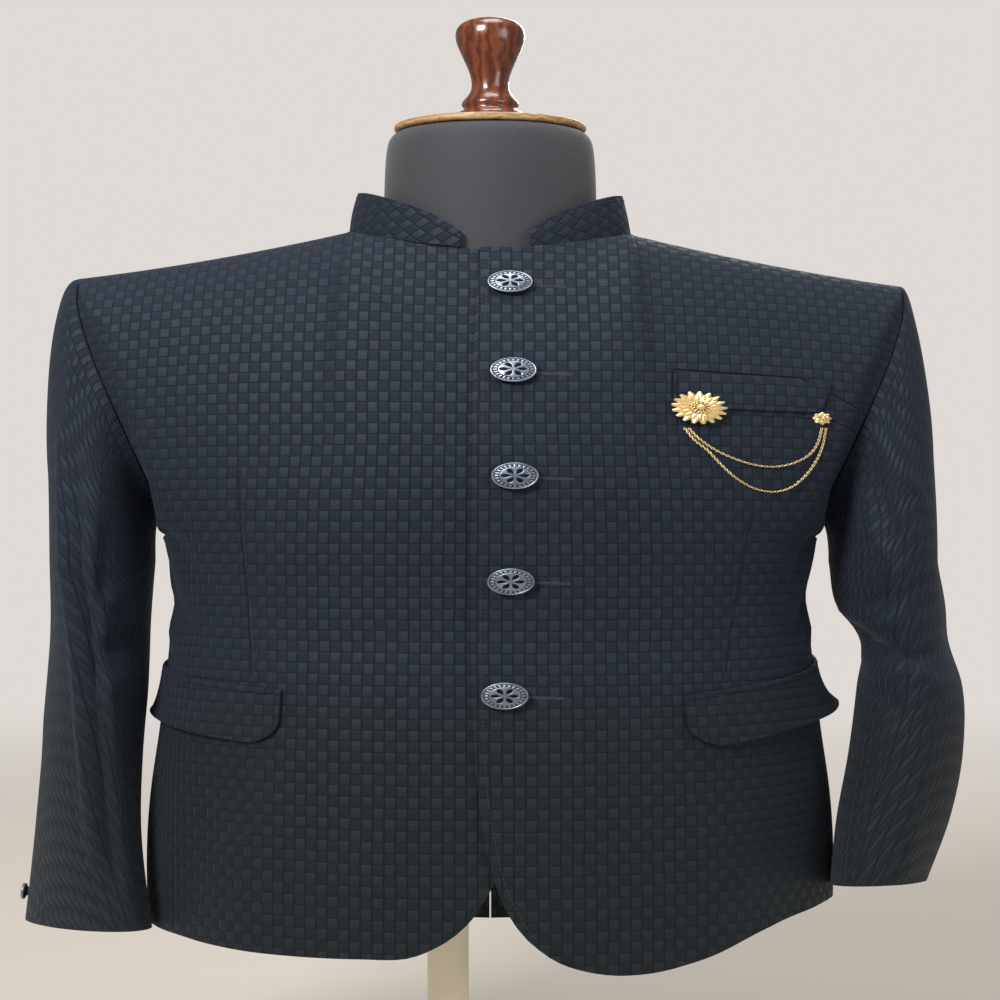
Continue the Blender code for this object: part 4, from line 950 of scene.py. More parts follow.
def makePanels():
    overLines = dartsOver + weltSides + inParts(weltRims[0]) + inParts(weltRims[1])
    for name, edge, hem, sign, darts in (
        ("front_over", overEdge, overHem, 1, overLines),
        ("front_under", underEdge, underHem, -1, dartsUnder),
    ):
        finish = clothMaterial(f"weave_{name}", dartLays(darts))
        plane = frontPlane(edge, hem, sign)
        x = bodyPoint(plane[..., 0] / girthMm, plane[..., 1])[..., 0]
        panelPiece(f"{name}_cloth", plane, frontLift(x, sign > 0), finish, name, "stretched", ["form_body"])
    for name, hem, sign in (("back_left", backHemLeft, 1), ("back_right", backHemRight, -1)):
        plane = backPlane(hem, sign)
        flat = np.zeros(plane.shape[:2])
        panelPiece(f"{name}_cloth", plane, flat, plainWeave, name, "stretched", ["form_body"])
    print("panels made")


sleeve = {
    "rows": 86,
    "headRows": 40,
    "headCrowding": 0.85,
    "columnStep": 2.2,  # degrees
    "seamGap": 0.2,
    "creaseScale": 1.05,  # mm for each degree round
    "creaseFrom": (0.02, 0.35),  # level from which the creases begin
}


def makeSleeves():
    gap, headRows = sleeve["seamGap"], sleeve["headRows"]
    stretches = {
        "top": (sleeveBackSeam - 360 + gap, sleeveFrontSeam - gap),
        "under": (sleeveFrontSeam + gap, sleeveBackSeam - gap),
    }
    head = np.linspace(0, 1, headRows) ** sleeve["headCrowding"]
    level = np.concatenate([head, 1 + np.linspace(0, 1, sleeve["rows"] - headRows + 1)[1:]])[:, None]
    for sideName, rows, side, creases in (
        ("left", sleeveLeft, 1, sleeveCreasesLeft), ("right", sleeveRight, -1, sleeveCreasesRight),
    ):
        for part, (start, end) in stretches.items():
            turn = np.linspace(start, end, int((end - start) / sleeve["columnStep"]))[None, :]
            grid, normal = sleeveCloth(rows, turn, level, side)
            crease = creaseLift(creases, np.mod(turn, 360) + 0 * level, grid[..., 2], sleeve["creaseScale"])
            crease = crease * smoothStep(level, *sleeve["creaseFrom"]) * sleeveDepth
            outer = grid + normal * crease[..., None]
            inner = outer - normal * clothWall * 1000
            steps = np.linalg.norm(np.diff(grid, axis=1), axis=2).cumsum(1)
            rises = np.linalg.norm(np.diff(grid, axis=0), axis=2).cumsum(0)
            u = np.concatenate([np.zeros((len(level), 1)), steps], 1)
            v = -np.concatenate([np.zeros((1, turn.shape[1])), rises])
            u = u - np.median(u, axis=1, keepdims=True)
            u, v = u * sleeveTile, v + 0 * u
            clothWallPiece(
                f"sleeve_{part}_{sideName}_cloth", world(outer), world(inner), np.stack([u, v], -1), plainWeave,
                f"sleeve_{part}_{sideName}", "hung", [f"front_{'over' if side > 0 else 'under'}_cloth"],
            )
    print("sleeves made")


def collarGrid(rows, step=2.0):
    first, last = collarEnds[1], 360 + collarEnds[0]
    turn = np.linspace(first, last, int((last - first) / step))
    fromEnd = np.minimum(turn - first, last - turn)
    height = collarEndHeight + (collarBackHeight - collarEndHeight) * (1 - np.exp(-fromEnd / collarRise))
    foot = necklinePoint(np.where(turn > 180, turn - 360, turn))
    foot[..., 2] += shoulderTilt * foot[..., 0] + 1000 * seamGap
    away = (foot - np.array([0, jacketNeckline.y, 0])) * np.array([1, 1, 0])
    away /= np.linalg.norm(away, axis=-1, keepdims=True)
    share = np.linspace(0, 1, rows)[:, None, None]
    tall = height[None, :, None]
    lean = collarLean * share * tall / collarBackHeight
    outer = foot[None] + share * tall * np.array([0, 0, 1.0]) - away[None] * lean
    return outer, away, turn


def makeCollar():
    outer, away, turn = collarGrid(16)
    waves = 1 + 0.5 * np.sin(np.radians(turn * 3.0))
    swell = 0.5 * np.sin(np.linspace(0, np.pi, 16))[:, None] * waves[None, :]
    outer = outer + away[None] * swell[..., None]
    inner = outer - away[None] * clothWall * 1000
    u = np.radians(turn)[None, :] * jacketNeckline.halfWidth + 0 * outer[..., 2]
    v = outer[..., 2] - outer[:1, :, 2]
    bias = math.radians(collarBias)
    lay = np.stack([u * math.cos(bias) - v * math.sin(bias), u * math.sin(bias) + v * math.cos(bias)], -1)
    clothWallPiece("collar_cloth", world(outer), world(inner), lay, plainWeave, "collar", "stretched", ["form_body"])


def laidPiece(name, plane, lift, thickness, over, node, held="laid"):
    angle, level = plane[..., 0] / girthMm, plane[..., 1]
    x = bodyPoint(angle, level)[..., 0]
    crease = creaseLift(bodyCreases, angle, level, girthMm)
    grid = bodyPoint(angle, level)
    normal = bodyNormal(angle, level)
    inner = grid + normal * (crease + 1000 * (lift + frontLift(x, over)))[..., None]
    outer = inner + normal * thickness * 1000
    rests = ["front_over_cloth" if over else "front_under_cloth"]
    lay = bodyLay(angle, level)
    return clothWallPiece(name, world(outer), world(inner), lay, plainWeave, node, held, rests)


def makePockets():
    for sideName, strip, sign, over in (("left", flapLeft, 1, True), ("right", flapRight, -1, False)):
        plane, s, v = stripGrid(strip, sign, 5, 44, depth=jettingHeight)
        swell = 2 * seamGap + 0.0004 * np.sin(np.pi * v) + 0 * s
        jetting = laidPiece(f"jetting_{sideName}_cloth", plane, swell, thinWall, over, f"jetting_{sideName}", "")
        plane, s, v = stripGrid(strip, sign, 22, 44, drop=jettingHeight + flapGap)
        hang = 2 * seamGap + strip.standOff / 1000 * v ** 2 * s ** 2 + 0.0014 * v
        hang = hang + 0.0008 * v * np.sin(s * 9 + sign)
        laidPiece(f"flap_{sideName}_cloth", plane, hang, clothWall, over, f"flap_{sideName}", "laid")
    plane, s, v = stripGrid(breastWelt, 1, 14, 40)
    puff = 2 * seamGap + 0.0005 * np.sin(np.pi * v) ** 0.5
    laidPiece("breast_welt_cloth", plane, puff + 0 * s, thinWall, True, "breast_welt")
    print("collar and pockets made")

# Buttons: a domed shell with a six-petalled rosette in a ring of small marks

button = {
    "radius": 0.012,
    "cuffSize": 0.66,  # of a cuff button beside a front one
    "height": 0.0064,
    "petals": 6,
    "petalFrom": 0.10,  # shares of the radius
    "petalTo": 0.60,
    "marks": 24,
    "marksAt": 0.76,
    "rimFrom": 0.88,
    "relief": 0.00035,
}


def rosette(share, turn):
    petalTurn = np.abs(((turn * button["petals"] / math.tau + 0.5) % 1) - 0.5) * math.tau / button["petals"]
    way = (share - button["petalFrom"]) / (button["petalTo"] - button["petalFrom"])
    width = np.where((way > 0) & (way < 1), 0.34 * np.sin(np.pi * np.clip(way, 0, 1)) ** 0.7, 0)
    petal = smoothStep(width - petalTurn, -0.04, 0.05)
    petal = petal * (share > button["petalFrom"]) * (share < button["petalTo"])
    markTurn = np.abs(((turn * button["marks"] / math.tau) % 1) - 0.5) * 2
    marks = 1 - smoothStep(np.abs(share - button["marksAt"]), 0.05, 0.09)
    marks = marks * smoothStep(0.55 - markTurn, -0.1, 0.1)
    rings = 1 - smoothStep(np.abs(share - 0.665), 0.008, 0.022)
    rings = np.maximum(rings, 1 - smoothStep(np.abs(share - 0.865), 0.008, 0.022))
    return np.clip(np.maximum(np.maximum(petal, marks), rings), 0, 1)


def buttonMesh(name, size, finish, spot, normal):
    shares = np.concatenate([np.linspace(0, 0.9, 40)[1:], np.array([0.93, 0.96, 0.985, 1.0])])
    turns = np.arange(120) * math.tau / 120
    share, turn = np.meshgrid(shares, turns, indexing="ij")
    dark = rosette(share, turn)
    rim = smoothStep(share, button["rimFrom"], 0.94) * (1 - smoothStep(share, 0.96, 1.0) * 0.9)
    dome = button["height"] * (0.56 + 0.44 * np.sqrt(np.maximum(1 - (share * 0.96) ** 2, 0)))
    z = (dome + rim * 0.0004 - dark * button["relief"]) * size - (share > 0.995) * 0.0006 * size
    top = np.stack([share * np.cos(turn), share * np.sin(turn), z / (button["radius"] * size)], -1)
    points = [np.array([0, 0, (button["height"] - 0.0001) / button["radius"]])]
    points += list(top.reshape(-1, 3))
    under = [(0.955, 0.0026), (0.56, 0.0013), (0.50, 0.0)]
    for radius, height in under:
        ring = [(radius * math.cos(a), radius * math.sin(a), height / button["radius"]) for a in turns]
        points += [np.array(p) for p in ring]
    points.append(np.array([0, 0, 0.0]))
    around, faces = len(turns), []
    rows = len(shares) + len(under)
    for c in range(around):
        d = (c + 1) % around
        faces.append((0, 1 + c, 1 + d))
        for r in range(rows - 1):
            a, b = 1 + r * around, 1 + (r + 1) * around
            faces.append((a + c, b + c, b + d, a + d))
        a = 1 + (rows - 1) * around
        faces.append((a + c, len(points) - 1, a + d))
    recess = np.concatenate([[0], dark.ravel(), np.full(len(under) * around, 0.3), [0]])
    points = np.array(points) * button["radius"] * size
    turnTo = normal.to_track_quat("Z", "Y").to_matrix()
    placed = points @ np.array(turnTo).T + np.array(spot)
    vectors = np.stack([0 * recess, 0 * recess, recess], -1)
    return meshObject(name, placed, faces, finish, 50, {"recess": vectors})


def makeButtons(finish):
    for number, place in enumerate(buttonPlaces, 1):
        spot, normal = onFront(place, seamGap)
        piece = buttonMesh(f"front_button_{number}", 1.0, finish, spot, normal)
        declare(piece, f"button_{number}")
    for sideName, rows, side in (("left", sleeveLeft, 1), ("right", sleeveRight, -1)):
        turn, level = cuffButton
        here = sleevePoint(rows, turn, level, side)
        across = sleevePoint(rows, turn + 2, level, side) - sleevePoint(rows, turn - 2, level, side)
        upward = sleevePoint(rows, turn, level - 0.01, side) - sleevePoint(rows, turn, level + 0.01, side)
        normal = np.cross(across, upward)
        normal /= np.linalg.norm(normal)
        normal = normal * np.sign(normal[0] * side)
        spot = world(here + normal * cuffLift)
        piece = buttonMesh(f"sleeve_button_{sideName}", button["cuffSize"], finish, spot, Vector(normal))
        declare(piece, f"cuff_button_{sideName}")
    print("buttons made")


# Rows of stitches and chain links along a path, by Geometry Nodes

def rowTree():
    tree = bpy.data.node_groups.new("rowAlongPath", "GeometryNodeTree")
    sockets = {}
    for name, kind in (
        ("Geometry", "NodeSocketGeometry"), ("Item", "NodeSocketObject"), ("Spacing", "NodeSocketFloat"),
        ("Turn each", "NodeSocketFloat"), ("Finish", "NodeSocketMaterial"),
    ):
        sockets[name] = tree.interface.new_socket(name, in_out="INPUT", socket_type=kind).identifier
    tree.interface.new_socket("Geometry", in_out="OUTPUT", socket_type="NodeSocketGeometry")

    def add(kind, **settings):
        made = tree.nodes.new(kind)
        for key, value in settings.items():
            setattr(made, key, value)
        return made

    start, end = add("NodeGroupInput"), add("NodeGroupOutput")
    path = add("GeometryNodeMeshToCurve")
    spaced = add("GeometryNodeResampleCurve", mode="LENGTH")
    tangent = add("GeometryNodeInputTangent")
    out = add("GeometryNodeInputNamedAttribute", data_type="FLOAT_VECTOR")
    out.inputs["Name"].default_value = "out"
    first = add("FunctionNodeAlignRotationToVector", axis="X")
    second = add("FunctionNodeAlignRotationToVector", axis="Z", pivot_axis="X")
    count = add("GeometryNodeInputIndex")
    turned = add("ShaderNodeMath", operation="MULTIPLY")
    roll = add("FunctionNodeAxisAngleToRotation")
    roll.inputs["Axis"].default_value = (1, 0, 0)
    rolled = add("FunctionNodeRotateRotation", rotation_space="LOCAL")
    item = add("GeometryNodeObjectInfo")
    copies = add("GeometryNodeInstanceOnPoints")
    real = add("GeometryNodeRealizeInstances")
    finished = add("GeometryNodeSetMaterial")
    for source, target in (
        (start.outputs["Geometry"], path.inputs[0]), (path.outputs[0], spaced.inputs["Curve"]),
        (start.outputs["Spacing"], spaced.inputs["Length"]), (tangent.outputs[0], first.inputs["Vector"]),
        (first.outputs[0], second.inputs["Rotation"]), (out.outputs["Attribute"], second.inputs["Vector"]),
        (count.outputs[0], turned.inputs[0]), (start.outputs["Turn each"], turned.inputs[1]),
        (turned.outputs[0], roll.inputs["Angle"]), (second.outputs[0], rolled.inputs["Rotation"]),
        (roll.outputs[0], rolled.inputs["Rotate By"]), (spaced.outputs[0], copies.inputs["Points"]),
        (start.outputs["Item"], item.inputs[0]), (item.outputs["Geometry"], copies.inputs["Instance"]),
        (rolled.outputs[0], copies.inputs["Rotation"]), (copies.outputs[0], real.inputs[0]),
        (real.outputs[0], finished.inputs["Geometry"]), (start.outputs["Finish"], finished.inputs["Material"]),
        (finished.outputs[0], end.inputs[0]),
    ):
        tree.links.new(source, target)
    return tree, sockets


# A row of items along each path, a list of (point, direction out of the cloth)
def rowPiece(name, paths, item, spacing, turnEach, finish, nodes=()):
    tree, sockets = rowNodes
    mesh = bpy.data.meshes.new(name)
    vertices, edges, outs = [], [], []
    for path in paths:
        base = len(vertices)
        vertices += [tuple(point) for point, _ in path]
        outs += [tuple(out) for _, out in path]
        edges += [(base + k, base + k + 1) for k in range(len(path) - 1)]
    mesh.from_pydata(vertices, edges, [])
    layer = mesh.attributes.new("out", "FLOAT_VECTOR", "POINT")
    layer.data.foreach_set("vector", np.asarray(outs, np.float32).ravel())
    made = bpy.data.objects.new(name, mesh)
    bpy.context.scene.collection.objects.link(made)
    modifier = made.modifiers.new("row", "NODES")
    modifier.node_group = tree
    for key, value in (("Item", item), ("Spacing", spacing), ("Turn each", turnEach), ("Finish", finish)):
        modifier[sockets[key]] = value
    bpy.context.view_layer.update()
    depsgraph = bpy.context.evaluated_depsgraph_get()
    real = bpy.data.meshes.new_from_object(made.evaluated_get(depsgraph))
    made.modifiers.clear()
    made.data = real
    real.shade_smooth()
    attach(made, "root")
    if nodes:
        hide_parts(*nodes)
    return made


def stitchItem(length, thickness):
    segments, sides = 4, 6
    points, faces = [], []
    for k in range(segments + 1):
        way = k / segments
        swell = math.sin(math.pi * (0.08 + 0.84 * way)) ** 0.6
        for s in range(sides):
            a = s * math.tau / sides
            arch = thickness * 0.5 * math.sin(math.pi * way)
            thick = thickness / 2 * swell
            points.append(((way - 0.5) * length, math.cos(a) * thick, math.sin(a) * thick + arch))
    for k in range(segments):
        for s in range(sides):
            a, b = k * sides + s, k * sides + (s + 1) % sides
            faces.append((a, b, b + sides, a + sides))
    faces.append(tuple(range(sides))[::-1])
    faces.append(tuple(range(segments * sides, (segments + 1) * sides)))
    return meshObject("stitch", points, faces, navyThread)


def linkItem(length, width, wire):
    around, sides = 14, 6
    points, faces = [], []
    for k in range(around):
        a = k * math.tau / around
        centre = np.array([math.cos(a) * (length - wire) / 2, math.sin(a) * (width - wire) / 2, 0.0])
        away = np.array([math.cos(a), math.sin(a), 0.0])
        for s in range(sides):
            b = s * math.tau / sides
            points.append(centre + away * math.cos(b) * wire / 2 + np.array([0, 0, math.sin(b) * wire / 2]))
    for k in range(around):
        for s in range(sides):
            a, b = k * sides + s, k * sides + (s + 1) % sides
            c, d = (k + 1) % around * sides + s, (k + 1) % around * sides + (s + 1) % sides
            faces.append((a, b, d, c))
    return meshObject("link", points, faces, navyThread)


def clothPath(places, lift, over=True):
    # points on a front for a list of (x, z)
    found = []
    for place in places:
        angle, level = locate(place)
        here = bodyPoint(angle, level)
        normal = bodyNormal(np.array(angle), np.array(level))
        crease = creaseLift(bodyCreases, np.array(angle), np.array(level), girthMm)
        free = 1 - smoothStep(level, shoulderStart, shoulderEnd)
        ridge = panel["ridgeShare"]
        crease = crease * free if crease < 0 else crease * (ridge + (1 - ridge) * free)
        off = float(crease) + 1000 * (lift + float(frontLift(np.array(here[0]), over)))
        found.append((world(here + normal * off), normal))
    return found


sewing = {
    "stitch": 0.0030,  # metres
    "space": 0.0044,
    "thread": 0.0005,
    "edgeInset": 5.0,  # mm from the front's edge to its row of stitches
    "holeFrom": 10.8,  # mm from the button's middle to the visible start of its hole
    "holeTo": 29.0,
    "holeSlope": 0.06,
    "collarInset": 3.6,  # mm
    "collarLift": 0.55,
}


def edgePath(edge, inset, over):
    levels = np.linspace(236, edge[-2].level + 6, 110)
    xs = along(edge, "x", levels) + inset
    angles = angleAt(xs, levels)
    found = []
    for angle, level, x in zip(angles, levels, xs):
        here = bodyPoint(angle, level)
        normal = bodyNormal(np.array(angle), np.array(level))
        off = 1000 * float(frontLift(np.array(here[0]), over)) + 0.1
        off += float(creaseLift(bodyCreases, np.array(angle), np.array(level), girthMm)) * float(level < shoulderStart)
        found.append((world(here + normal * off), normal))
    return found


def makeSewing():
    stitch = stitchItem(sewing["stitch"], sewing["thread"])
    paths = [edgePath(overEdge, sewing["edgeInset"], True)]
    outer, away, _ = collarGrid(4)
    top = outer[-1] - np.array([0, 0, sewing["collarInset"]]) + away * sewing["collarLift"]
    paths.append([(world(point), out) for point, out in zip(top, away)])
    rowPiece("edge_stitches", paths, stitch, sewing["space"], 0.0, navyThread)

    holes, slits = [], []
    for place in buttonPlaces:
        start, end = place.x + sewing["holeFrom"], place.x + sewing["holeTo"]
        tall = place.z - 1.5
        for rise in (-0.75, 0.75):
            steps = [(x, tall + rise - sewing["holeSlope"] * (x - start)) for x in np.linspace(start, end, 12)]
            holes.append(clothPath(steps, 0.0002))
        steps = [(x, tall - sewing["holeSlope"] * (x - start)) for x in np.linspace(start, end + 1, 12)]
        slits.append(clothPath(steps, 0.0001))
    bar = stitchItem(0.0012, 0.0004)
    rowPiece("buttonhole_stitches", holes, bar, 0.0006, math.radians(90), paleThread)
    rowPiece("buttonhole_cords", slits, stitch, 0.0018, 0.0, navyThread)
    for item in (stitch, bar):
        bpy.data.objects.remove(item)
    print("sewing made")


# The brooch: two rows of pointed petals round a beaded middle, a small flower and two chains

brooch = {
    "petals": 17,
    "radius": 0.0152,
    "middle": 0.0052,
    "height": 0.0036,
    "small": 0.0058,
    "smallPetals": 8,
    "smallHeight": 0.0026,
    "linkLength": 0.0026,
    "linkWidth": 0.0019,
    "wire": 0.0005,
    "linkSpace": 0.00175,
}


def petalFan(petals, inner, outer, height, phase, width, points, faces):
    rows, half = 7, 3
    for k in range(petals):
        turn = (k + phase) * math.tau / petals
        ahead = np.array([math.cos(turn), math.sin(turn), 0.0])
        aside = np.array([-math.sin(turn), math.cos(turn), 0.0])
        base = len(points)
        for layer in (0, 1):
            for r in range(rows):
                way = r / (rows - 1)
                reach = inner + (outer - inner) * way
                wide = width * math.sin(math.pi * (0.16 + 0.75 * way)) ** 0.8
                for s in range(-half, half + 1):
                    off = s / half
                    rise = height * (0.45 + 0.5 * math.sin(math.pi * way * 0.8)) - 0.5 * height * abs(off) ** 1.5
                    rise += 0.00018 * math.cos(off * 9.4)
                    lift = rise if layer == 0 else max(rise - 0.0007, 0.0)
                    points.append(ahead * reach + aside * wide * off + np.array([0, 0, lift]))
        wideCount = 2 * half + 1
        for r in range(rows - 1):
            for s in range(wideCount - 1):
                a = base + r * wideCount + s
                b = a + rows * wideCount
                faces.append((a, a + wideCount, a + wideCount + 1, a + 1))
                faces.append((b, b + 1, b + 1 + wideCount, b + wideCount))
        border = [r * wideCount for r in range(rows)]
        border += [(rows - 1) * wideCount + s for s in range(1, wideCount)]
        border += [r * wideCount + wideCount - 1 for r in range(rows - 2, -1, -1)]
        border += [s for s in range(wideCount - 2, 0, -1)]
        for a, b in zip(border, border[1:] + border[:1]):
            c = rows * wideCount
            faces.append((base + a, base + b, base + c + b, base + c + a))


def addBall(points, faces, centre, radius):
    around, rows = 8, 5
    base = len(points)
    points.append(np.array(centre) + np.array([0, 0, radius]))
    for r in range(1, rows):
        tilt = math.pi * r / rows
        for c in range(around):
            a = c * math.tau / around
            way = np.array([math.sin(tilt) * math.cos(a), math.sin(tilt) * math.sin(a), math.cos(tilt)])
            points.append(np.array(centre) + way * radius)
    points.append(np.array(centre) - np.array([0, 0, radius]))
    for c in range(around):
        d = (c + 1) % around
        faces.append((base, base + 1 + c, base + 1 + d))
        for r in range(rows - 2):
            a, b = base + 1 + r * around, base + 1 + (r + 1) * around
            faces.append((a + c, b + c, b + d, a + d))
        a = base + 1 + (rows - 2) * around
        faces.append((a + c, len(points) - 1, a + d))


def flowerPiece(name, radius, petals, middle, height, spot, normal, finish, node):
    points, faces = [], []
    petalFan(petals, middle * 0.7, radius, height * 0.62, 0.0, radius * 2.75 / petals, points, faces)
    petalFan(petals, middle * 0.6, radius * 0.76, height * 0.88, 0.5, radius * 2.2 / petals, points, faces)
    bead = middle * 0.17
    addBall(points, faces, (0, 0, height * 0.78), middle * 0.55)
    for count, reach in ((6, 0.42), (11, 0.74), (16, 1.02)):
        for k in range(count):
            a = (k + reach) * math.tau / count
            rise = height * (1.0 - 0.18 * reach)
            addBall(points, faces, (middle * reach * math.cos(a), middle * reach * math.sin(a), rise), bead)
    turnTo = np.array(normal.to_track_quat("Z", "Y").to_matrix())
    placed = np.array(points) @ turnTo.T + np.array(spot)
    piece = meshObject(name, placed, faces, finish, 60)
    return declare(piece, node)


def makeBrooch(finish):
    onWelt = thinWall + 2 * seamGap + 0.0009
    spot, normal = onFront(broochPlace, onWelt)
    flowerPiece(
        "sunflower", brooch["radius"], brooch["petals"], brooch["middle"], brooch["height"], spot, normal, finish,
        "brooch_flower",
    )
    spot, normal = onFront(smallFlowerPlace, seamGap * 2)
    flowerPiece(
        "flower_pin", brooch["small"], brooch["smallPetals"], brooch["small"] * 0.36, brooch["smallHeight"], spot,
        normal, finish, "brooch_small_flower",
    )
    link = linkItem(brooch["linkLength"], brooch["linkWidth"], brooch["wire"])
    for name, route in (("upper", chainUpper), ("lower", chainLower)):
        knots = [onFront(place, chainRadius + 0.0007) for place in route]
        points = resample([tuple(point) for point, _ in knots], np.linspace(0, 1, 80))
        outs = resample([tuple(out) for _, out in knots], np.linspace(0, 1, 80))
        path = list(zip(points, outs))
        rowPiece(
            f"chain_{name}", [path], link, brooch["linkSpace"], math.radians(90), finish,
            [f"brooch_chain_{name}"],
        )
    bpy.data.objects.remove(link)
    print("brooch made")


# The form, its wood and the stand

def smoothCopy(node, name, finish, levels=1):
    mesh = frame["nodes"][node].data.copy()
    work = bmesh.new()
    work.from_mesh(mesh)
    bmesh.ops.remove_doubles(work, verts=work.verts, dist=0.00002)
    bmesh.ops.join_triangles(work, faces=work.faces, angle_face_threshold=0.6, angle_shape_threshold=1.2)
    crease = work.edges.layers.float.new("crease_edge")
    for edge in work.edges:
        if len(edge.link_faces) == 2 and edge.calc_face_angle() > 0.9:
            edge[crease] = 0.85
    work.to_mesh(mesh)
    work.free()
    mesh.materials.clear()
    mesh.materials.append(finish)
    mesh.shade_smooth()
    made = bpy.data.objects.new(name, mesh)
    bpy.context.scene.collection.objects.link(made)
    subdivision = made.modifiers.new("smooth", "SUBSURF")
    subdivision.levels = subdivision.render_levels = levels
    bpy.context.view_layer.update()
    real = bpy.data.meshes.new_from_object(made.evaluated_get(bpy.context.evaluated_depsgraph_get()))
    made.modifiers.clear()
    made.data = real
    real.shade_smooth()
    return declare(made, node)


def lathePiece(name, rows, finish, node, x, y, segments=96, curved=(), fine=120):
    rows = np.array(rows, float)
    if curved:
        start, end = curved
        bend = resample(rows[start:end], np.linspace(0, 1, fine))
        rows = np.concatenate([rows[:start], bend, rows[end:]])
    turns = np.arange(segments) * math.tau / segments
    points, faces = [(0, 0, rows[0][1])], []
    for radius, height in rows[1:-1]:
        points += [(radius * math.cos(a), radius * math.sin(a), height) for a in turns]
    points.append((0, 0, rows[-1][1]))
    count = len(rows) - 2
    for c in range(segments):
        d = (c + 1) % segments
        faces.append((0, 1 + d, 1 + c))
        for r in range(count - 1):
            a, b = 1 + r * segments, 1 + (r + 1) * segments
            faces.append((a + c, a + d, b + d, b + c))
        a = 1 + (count - 1) * segments
        faces.append((a + c, a + d, len(points) - 1))
    placed = np.array(points) / 1000 + np.array([x, y, chestLine])
    piece = meshObject(name, placed, faces, finish, 35)
    return declare(piece, node)


def makeForm():
    smoothCopy("form_body", "form_cover", coverMaterial(), 2)
    y = jacketNeckline.y / 1000
    rim = woodMaterial("cap_oak", (0.27, 0.145, 0.055), (0.58, 0.38, 0.18), 0.40, 0.08, True)
    cap = [
        (0, 362.3), (49, 362.3), (51, 362.6), (52.2, 363.8), (52.5, 366), (52.1, 368), (50.8, 369.2),
        (49, 369.5), (0, 369.5),
    ]
    lathePiece("neck_cap", cap, rim, "form_cap", bodyX, y, 96, (1, 8), 24)
    wood = woodMaterial("knob_rosewood", (0.055, 0.010, 0.004), (0.22, 0.055, 0.018), 0.20, 0.55, False)
    knob = [
        (0, 369.8), (17.0, 369.8), (18.9, 371), (19.6, 374), (19.4, 378), (17.8, 381.2), (15.2, 383.4),
        (14.4, 386), (15.6, 388.6), (15.5, 391), (14.4, 394), (12.4, 398), (10.7, 403), (10.2, 410),
        (10.9, 418), (12.7, 427), (15.0, 436), (17.2, 445), (18.8, 453), (19.0, 459), (18.1, 464.5),
        (15.2, 469.6), (11.0, 472.6), (6.0, 474.0), (0, 474.3),
    ]
    lathePiece("neck_knob", knob, wood, "form_knob", bodyX, y, 72, (1, 24), 140)
    paint = paintMaterial()
    top = formUnderside - 1000 * seamGap
    hub, floor = 52.0 - 1000 * chestLine, -1000 * chestLine
    poleR, rimR = 1000 * poleRadius, 1000 * baseRadius
    pole = [(0, hub + 0.3), (poleR, hub + 0.3), (poleR, top), (0, top)]
    lathePiece("stand_pole", pole, paint, "pole", 0.0, 0.0, 72)
    base = [
        (0, floor), (rimR - 1, floor), (rimR, floor + 1), (rimR, floor + 6), (rimR - 1.2, floor + 9),
        (rimR - 5, floor + 12), (110, floor + 14.6), (60, floor + 18), (42, floor + 19.6),
        (30, floor + 22), (24.5, floor + 25.5), (22, floor + 30), (20.6, floor + 42), (20, floor + 49),
        (19.6, floor + 51.2), (18.5, floor + 52), (0, floor + 52),
    ]
    lathePiece("stand_base", base, paint, "base", 0.0, 0.0, 128)
    print("form and stand made")


# Stage, light and camera

stage = {
    "wall": (0.740, 0.700, 0.665),
    "seenStrength": 1.0,
    "lightStrength": 0.34,  # what the surroundings light with
    "floor": (0.69, 0.64, 0.575),
    "floorFade": (0.7, 3.0),  # metres from the stand, over which the floor goes over into the surroundings
}


def makeLight(name, place, aim, energy, size, tone):
    lamp = bpy.data.lights.new(name, "AREA")
    lamp.shape = "RECTANGLE"
    lamp.size, lamp.size_y = size
    lamp.energy = energy
    lamp.color = tone
    made = bpy.data.objects.new(name, lamp)
    bpy.context.scene.collection.objects.link(made)
    made.location = place
    made.rotation_euler = (Vector(aim) - Vector(place)).to_track_quat("-Z", "Y").to_euler()


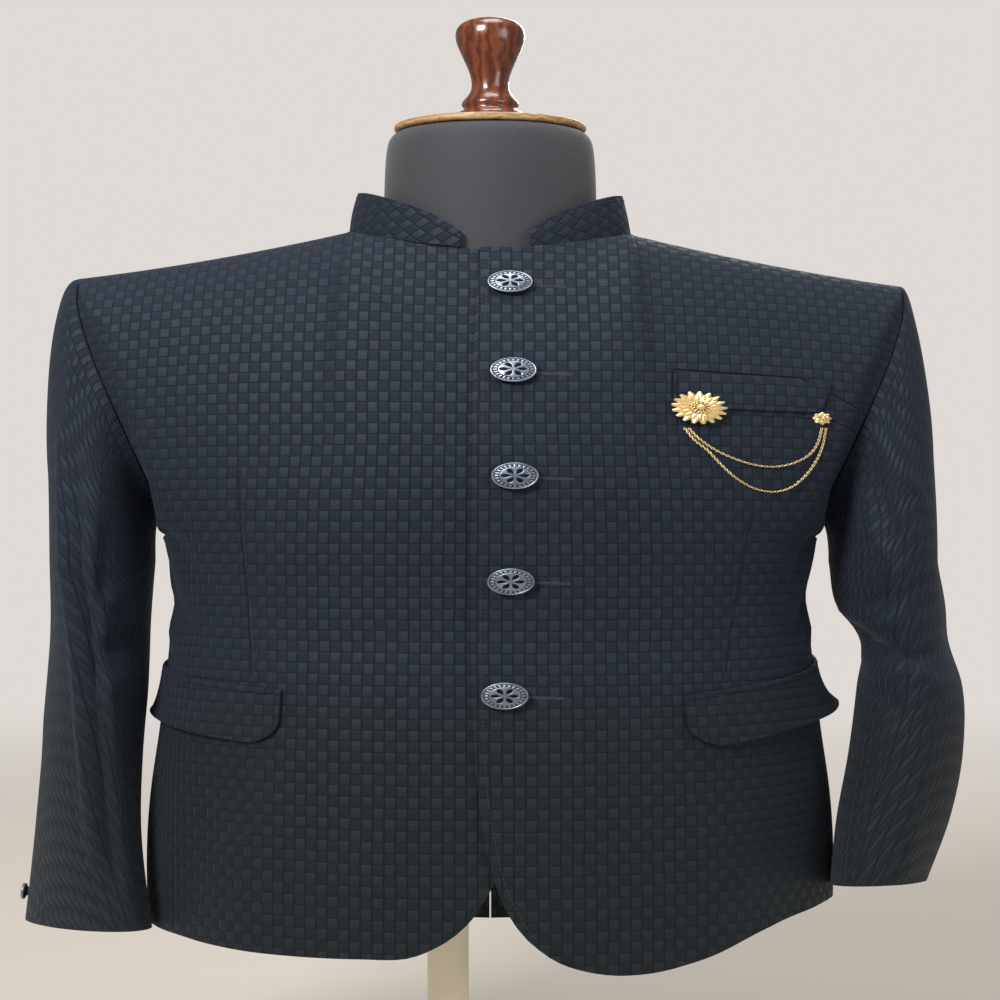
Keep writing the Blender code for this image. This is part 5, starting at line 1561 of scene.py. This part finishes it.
def makeStage():
    shop = Shop("floor_paper")
    where = shop.place()
    grey = stage["floor"]
    shop.set("Base Color", shop.tint(shop.noise(where, 3.0), tuple(c * 0.97 for c in grey), grey))
    shop.set("Roughness", shop.noise(where, 12.0) * 0.1 + 0.8)
    away = shop.node("ShaderNodeVectorMath", {"operation": "LENGTH"}, {0: where}, 1)
    shop.set("Alpha", 1 - away.inside(*stage["floorFade"]))
    side = 4.0
    corners = [(-side, -side, -0.0005), (side, -side, -0.0005), (side, side, -0.0005), (-side, side, -0.0005)]
    mesh = bpy.data.meshes.new("floor")
    mesh.from_pydata(corners, [], [(0, 1, 2, 3)])
    mesh.materials.append(shop.material)
    floor = bpy.data.objects.new("floor", mesh)
    bpy.context.scene.collection.objects.link(floor)
    studio = bpy.data.worlds.new("studio")
    bpy.context.scene.world = studio
    studio.use_nodes = True
    tree = studio.node_tree
    seen, lit = tree.nodes["Background"], tree.nodes.new("ShaderNodeBackground")
    rays, mix = tree.nodes.new("ShaderNodeLightPath"), tree.nodes.new("ShaderNodeMixShader")
    seen.inputs["Color"].default_value = lit.inputs["Color"].default_value = (*stage["wall"], 1.0)
    seen.inputs["Strength"].default_value = stage["seenStrength"]
    lit.inputs["Strength"].default_value = stage["lightStrength"]
    tree.links.new(rays.outputs["Is Camera Ray"], mix.inputs[0])
    tree.links.new(lit.outputs[0], mix.inputs[1])
    tree.links.new(seen.outputs[0], mix.inputs[2])
    tree.links.new(mix.outputs[0], tree.nodes["World Output"].inputs["Surface"])
    makeLight("key", (-1.2, -2.0, 2.3), (0.0, 0, 0.80), 74, (0.9, 0.8), (1.0, 0.985, 0.96))
    makeLight("fill", (1.9, -1.9, 1.6), (0, 0, 0.7), 16, (1.2, 1.2), (0.93, 0.96, 1.0))
    makeLight("top", (0.1, -0.3, 2.7), (0.0, 0.0, 0.7), 24, (1.2, 0.9), (1.0, 0.99, 0.97))
    makeLight("back", (0.7, 2.3, 2.2), (0.0, 0, 0.6), 20, (1.2, 1.0), (1.0, 0.99, 0.97))


camera = {
    "distance": 1.40,  # metres from the body's middle plane
    "eye": chestLine,
    "halfAcross": 0.27624,  # metres of the body's plane from the middle of the frame to its sides
    "halfUp": 0.49164,
    "bodyAt": 0.490,  # share of the frame's width where the body's middle line falls
}


def makeCamera():
    lens = bpy.data.cameras.new("photo_view")
    lens.type = "PANO"
    lens.panorama_type = "CENTRAL_CYLINDRICAL"
    reach = camera["distance"]
    lens.central_cylindrical_range_u_min = -math.atan(2 * camera["halfAcross"] * camera["bodyAt"] / reach)
    lens.central_cylindrical_range_u_max = math.atan(2 * camera["halfAcross"] * (1 - camera["bodyAt"]) / reach)
    lens.central_cylindrical_range_v_min = -camera["halfUp"] / reach
    lens.central_cylindrical_range_v_max = camera["halfUp"] / reach
    lens.central_cylindrical_radius = 1.0
    made = bpy.data.objects.new("photo_view", lens)
    bpy.context.scene.collection.objects.link(made)
    made.location = (bodyX, -camera["distance"], camera["eye"])
    made.rotation_euler = (math.pi / 2, 0, 0)
    bpy.context.scene.camera = made
    bpy.context.scene.view_settings.view_transform = "Standard"


plainWeave = clothMaterial("weave_plain")
navyThread = threadMaterial("navy_thread", (0.020, 0.027, 0.040))
paleThread = threadMaterial("pale_thread", (0.085, 0.100, 0.125))
silver = metalMaterial("silver", (0.31, 0.35, 0.42), (0.010, 0.014, 0.028), 0.30)
gold = metalMaterial("gold", (1.00, 0.78, 0.40), (0.30, 0.16, 0.04), 0.28, 0.72)
rowNodes = rowTree()
makeCamera()
makeStage()
makePanels()
makeSleeves()
makeCollar()
makePockets()
makeButtons(silver)
makeSewing()
makeBrooch(gold)
makeForm()
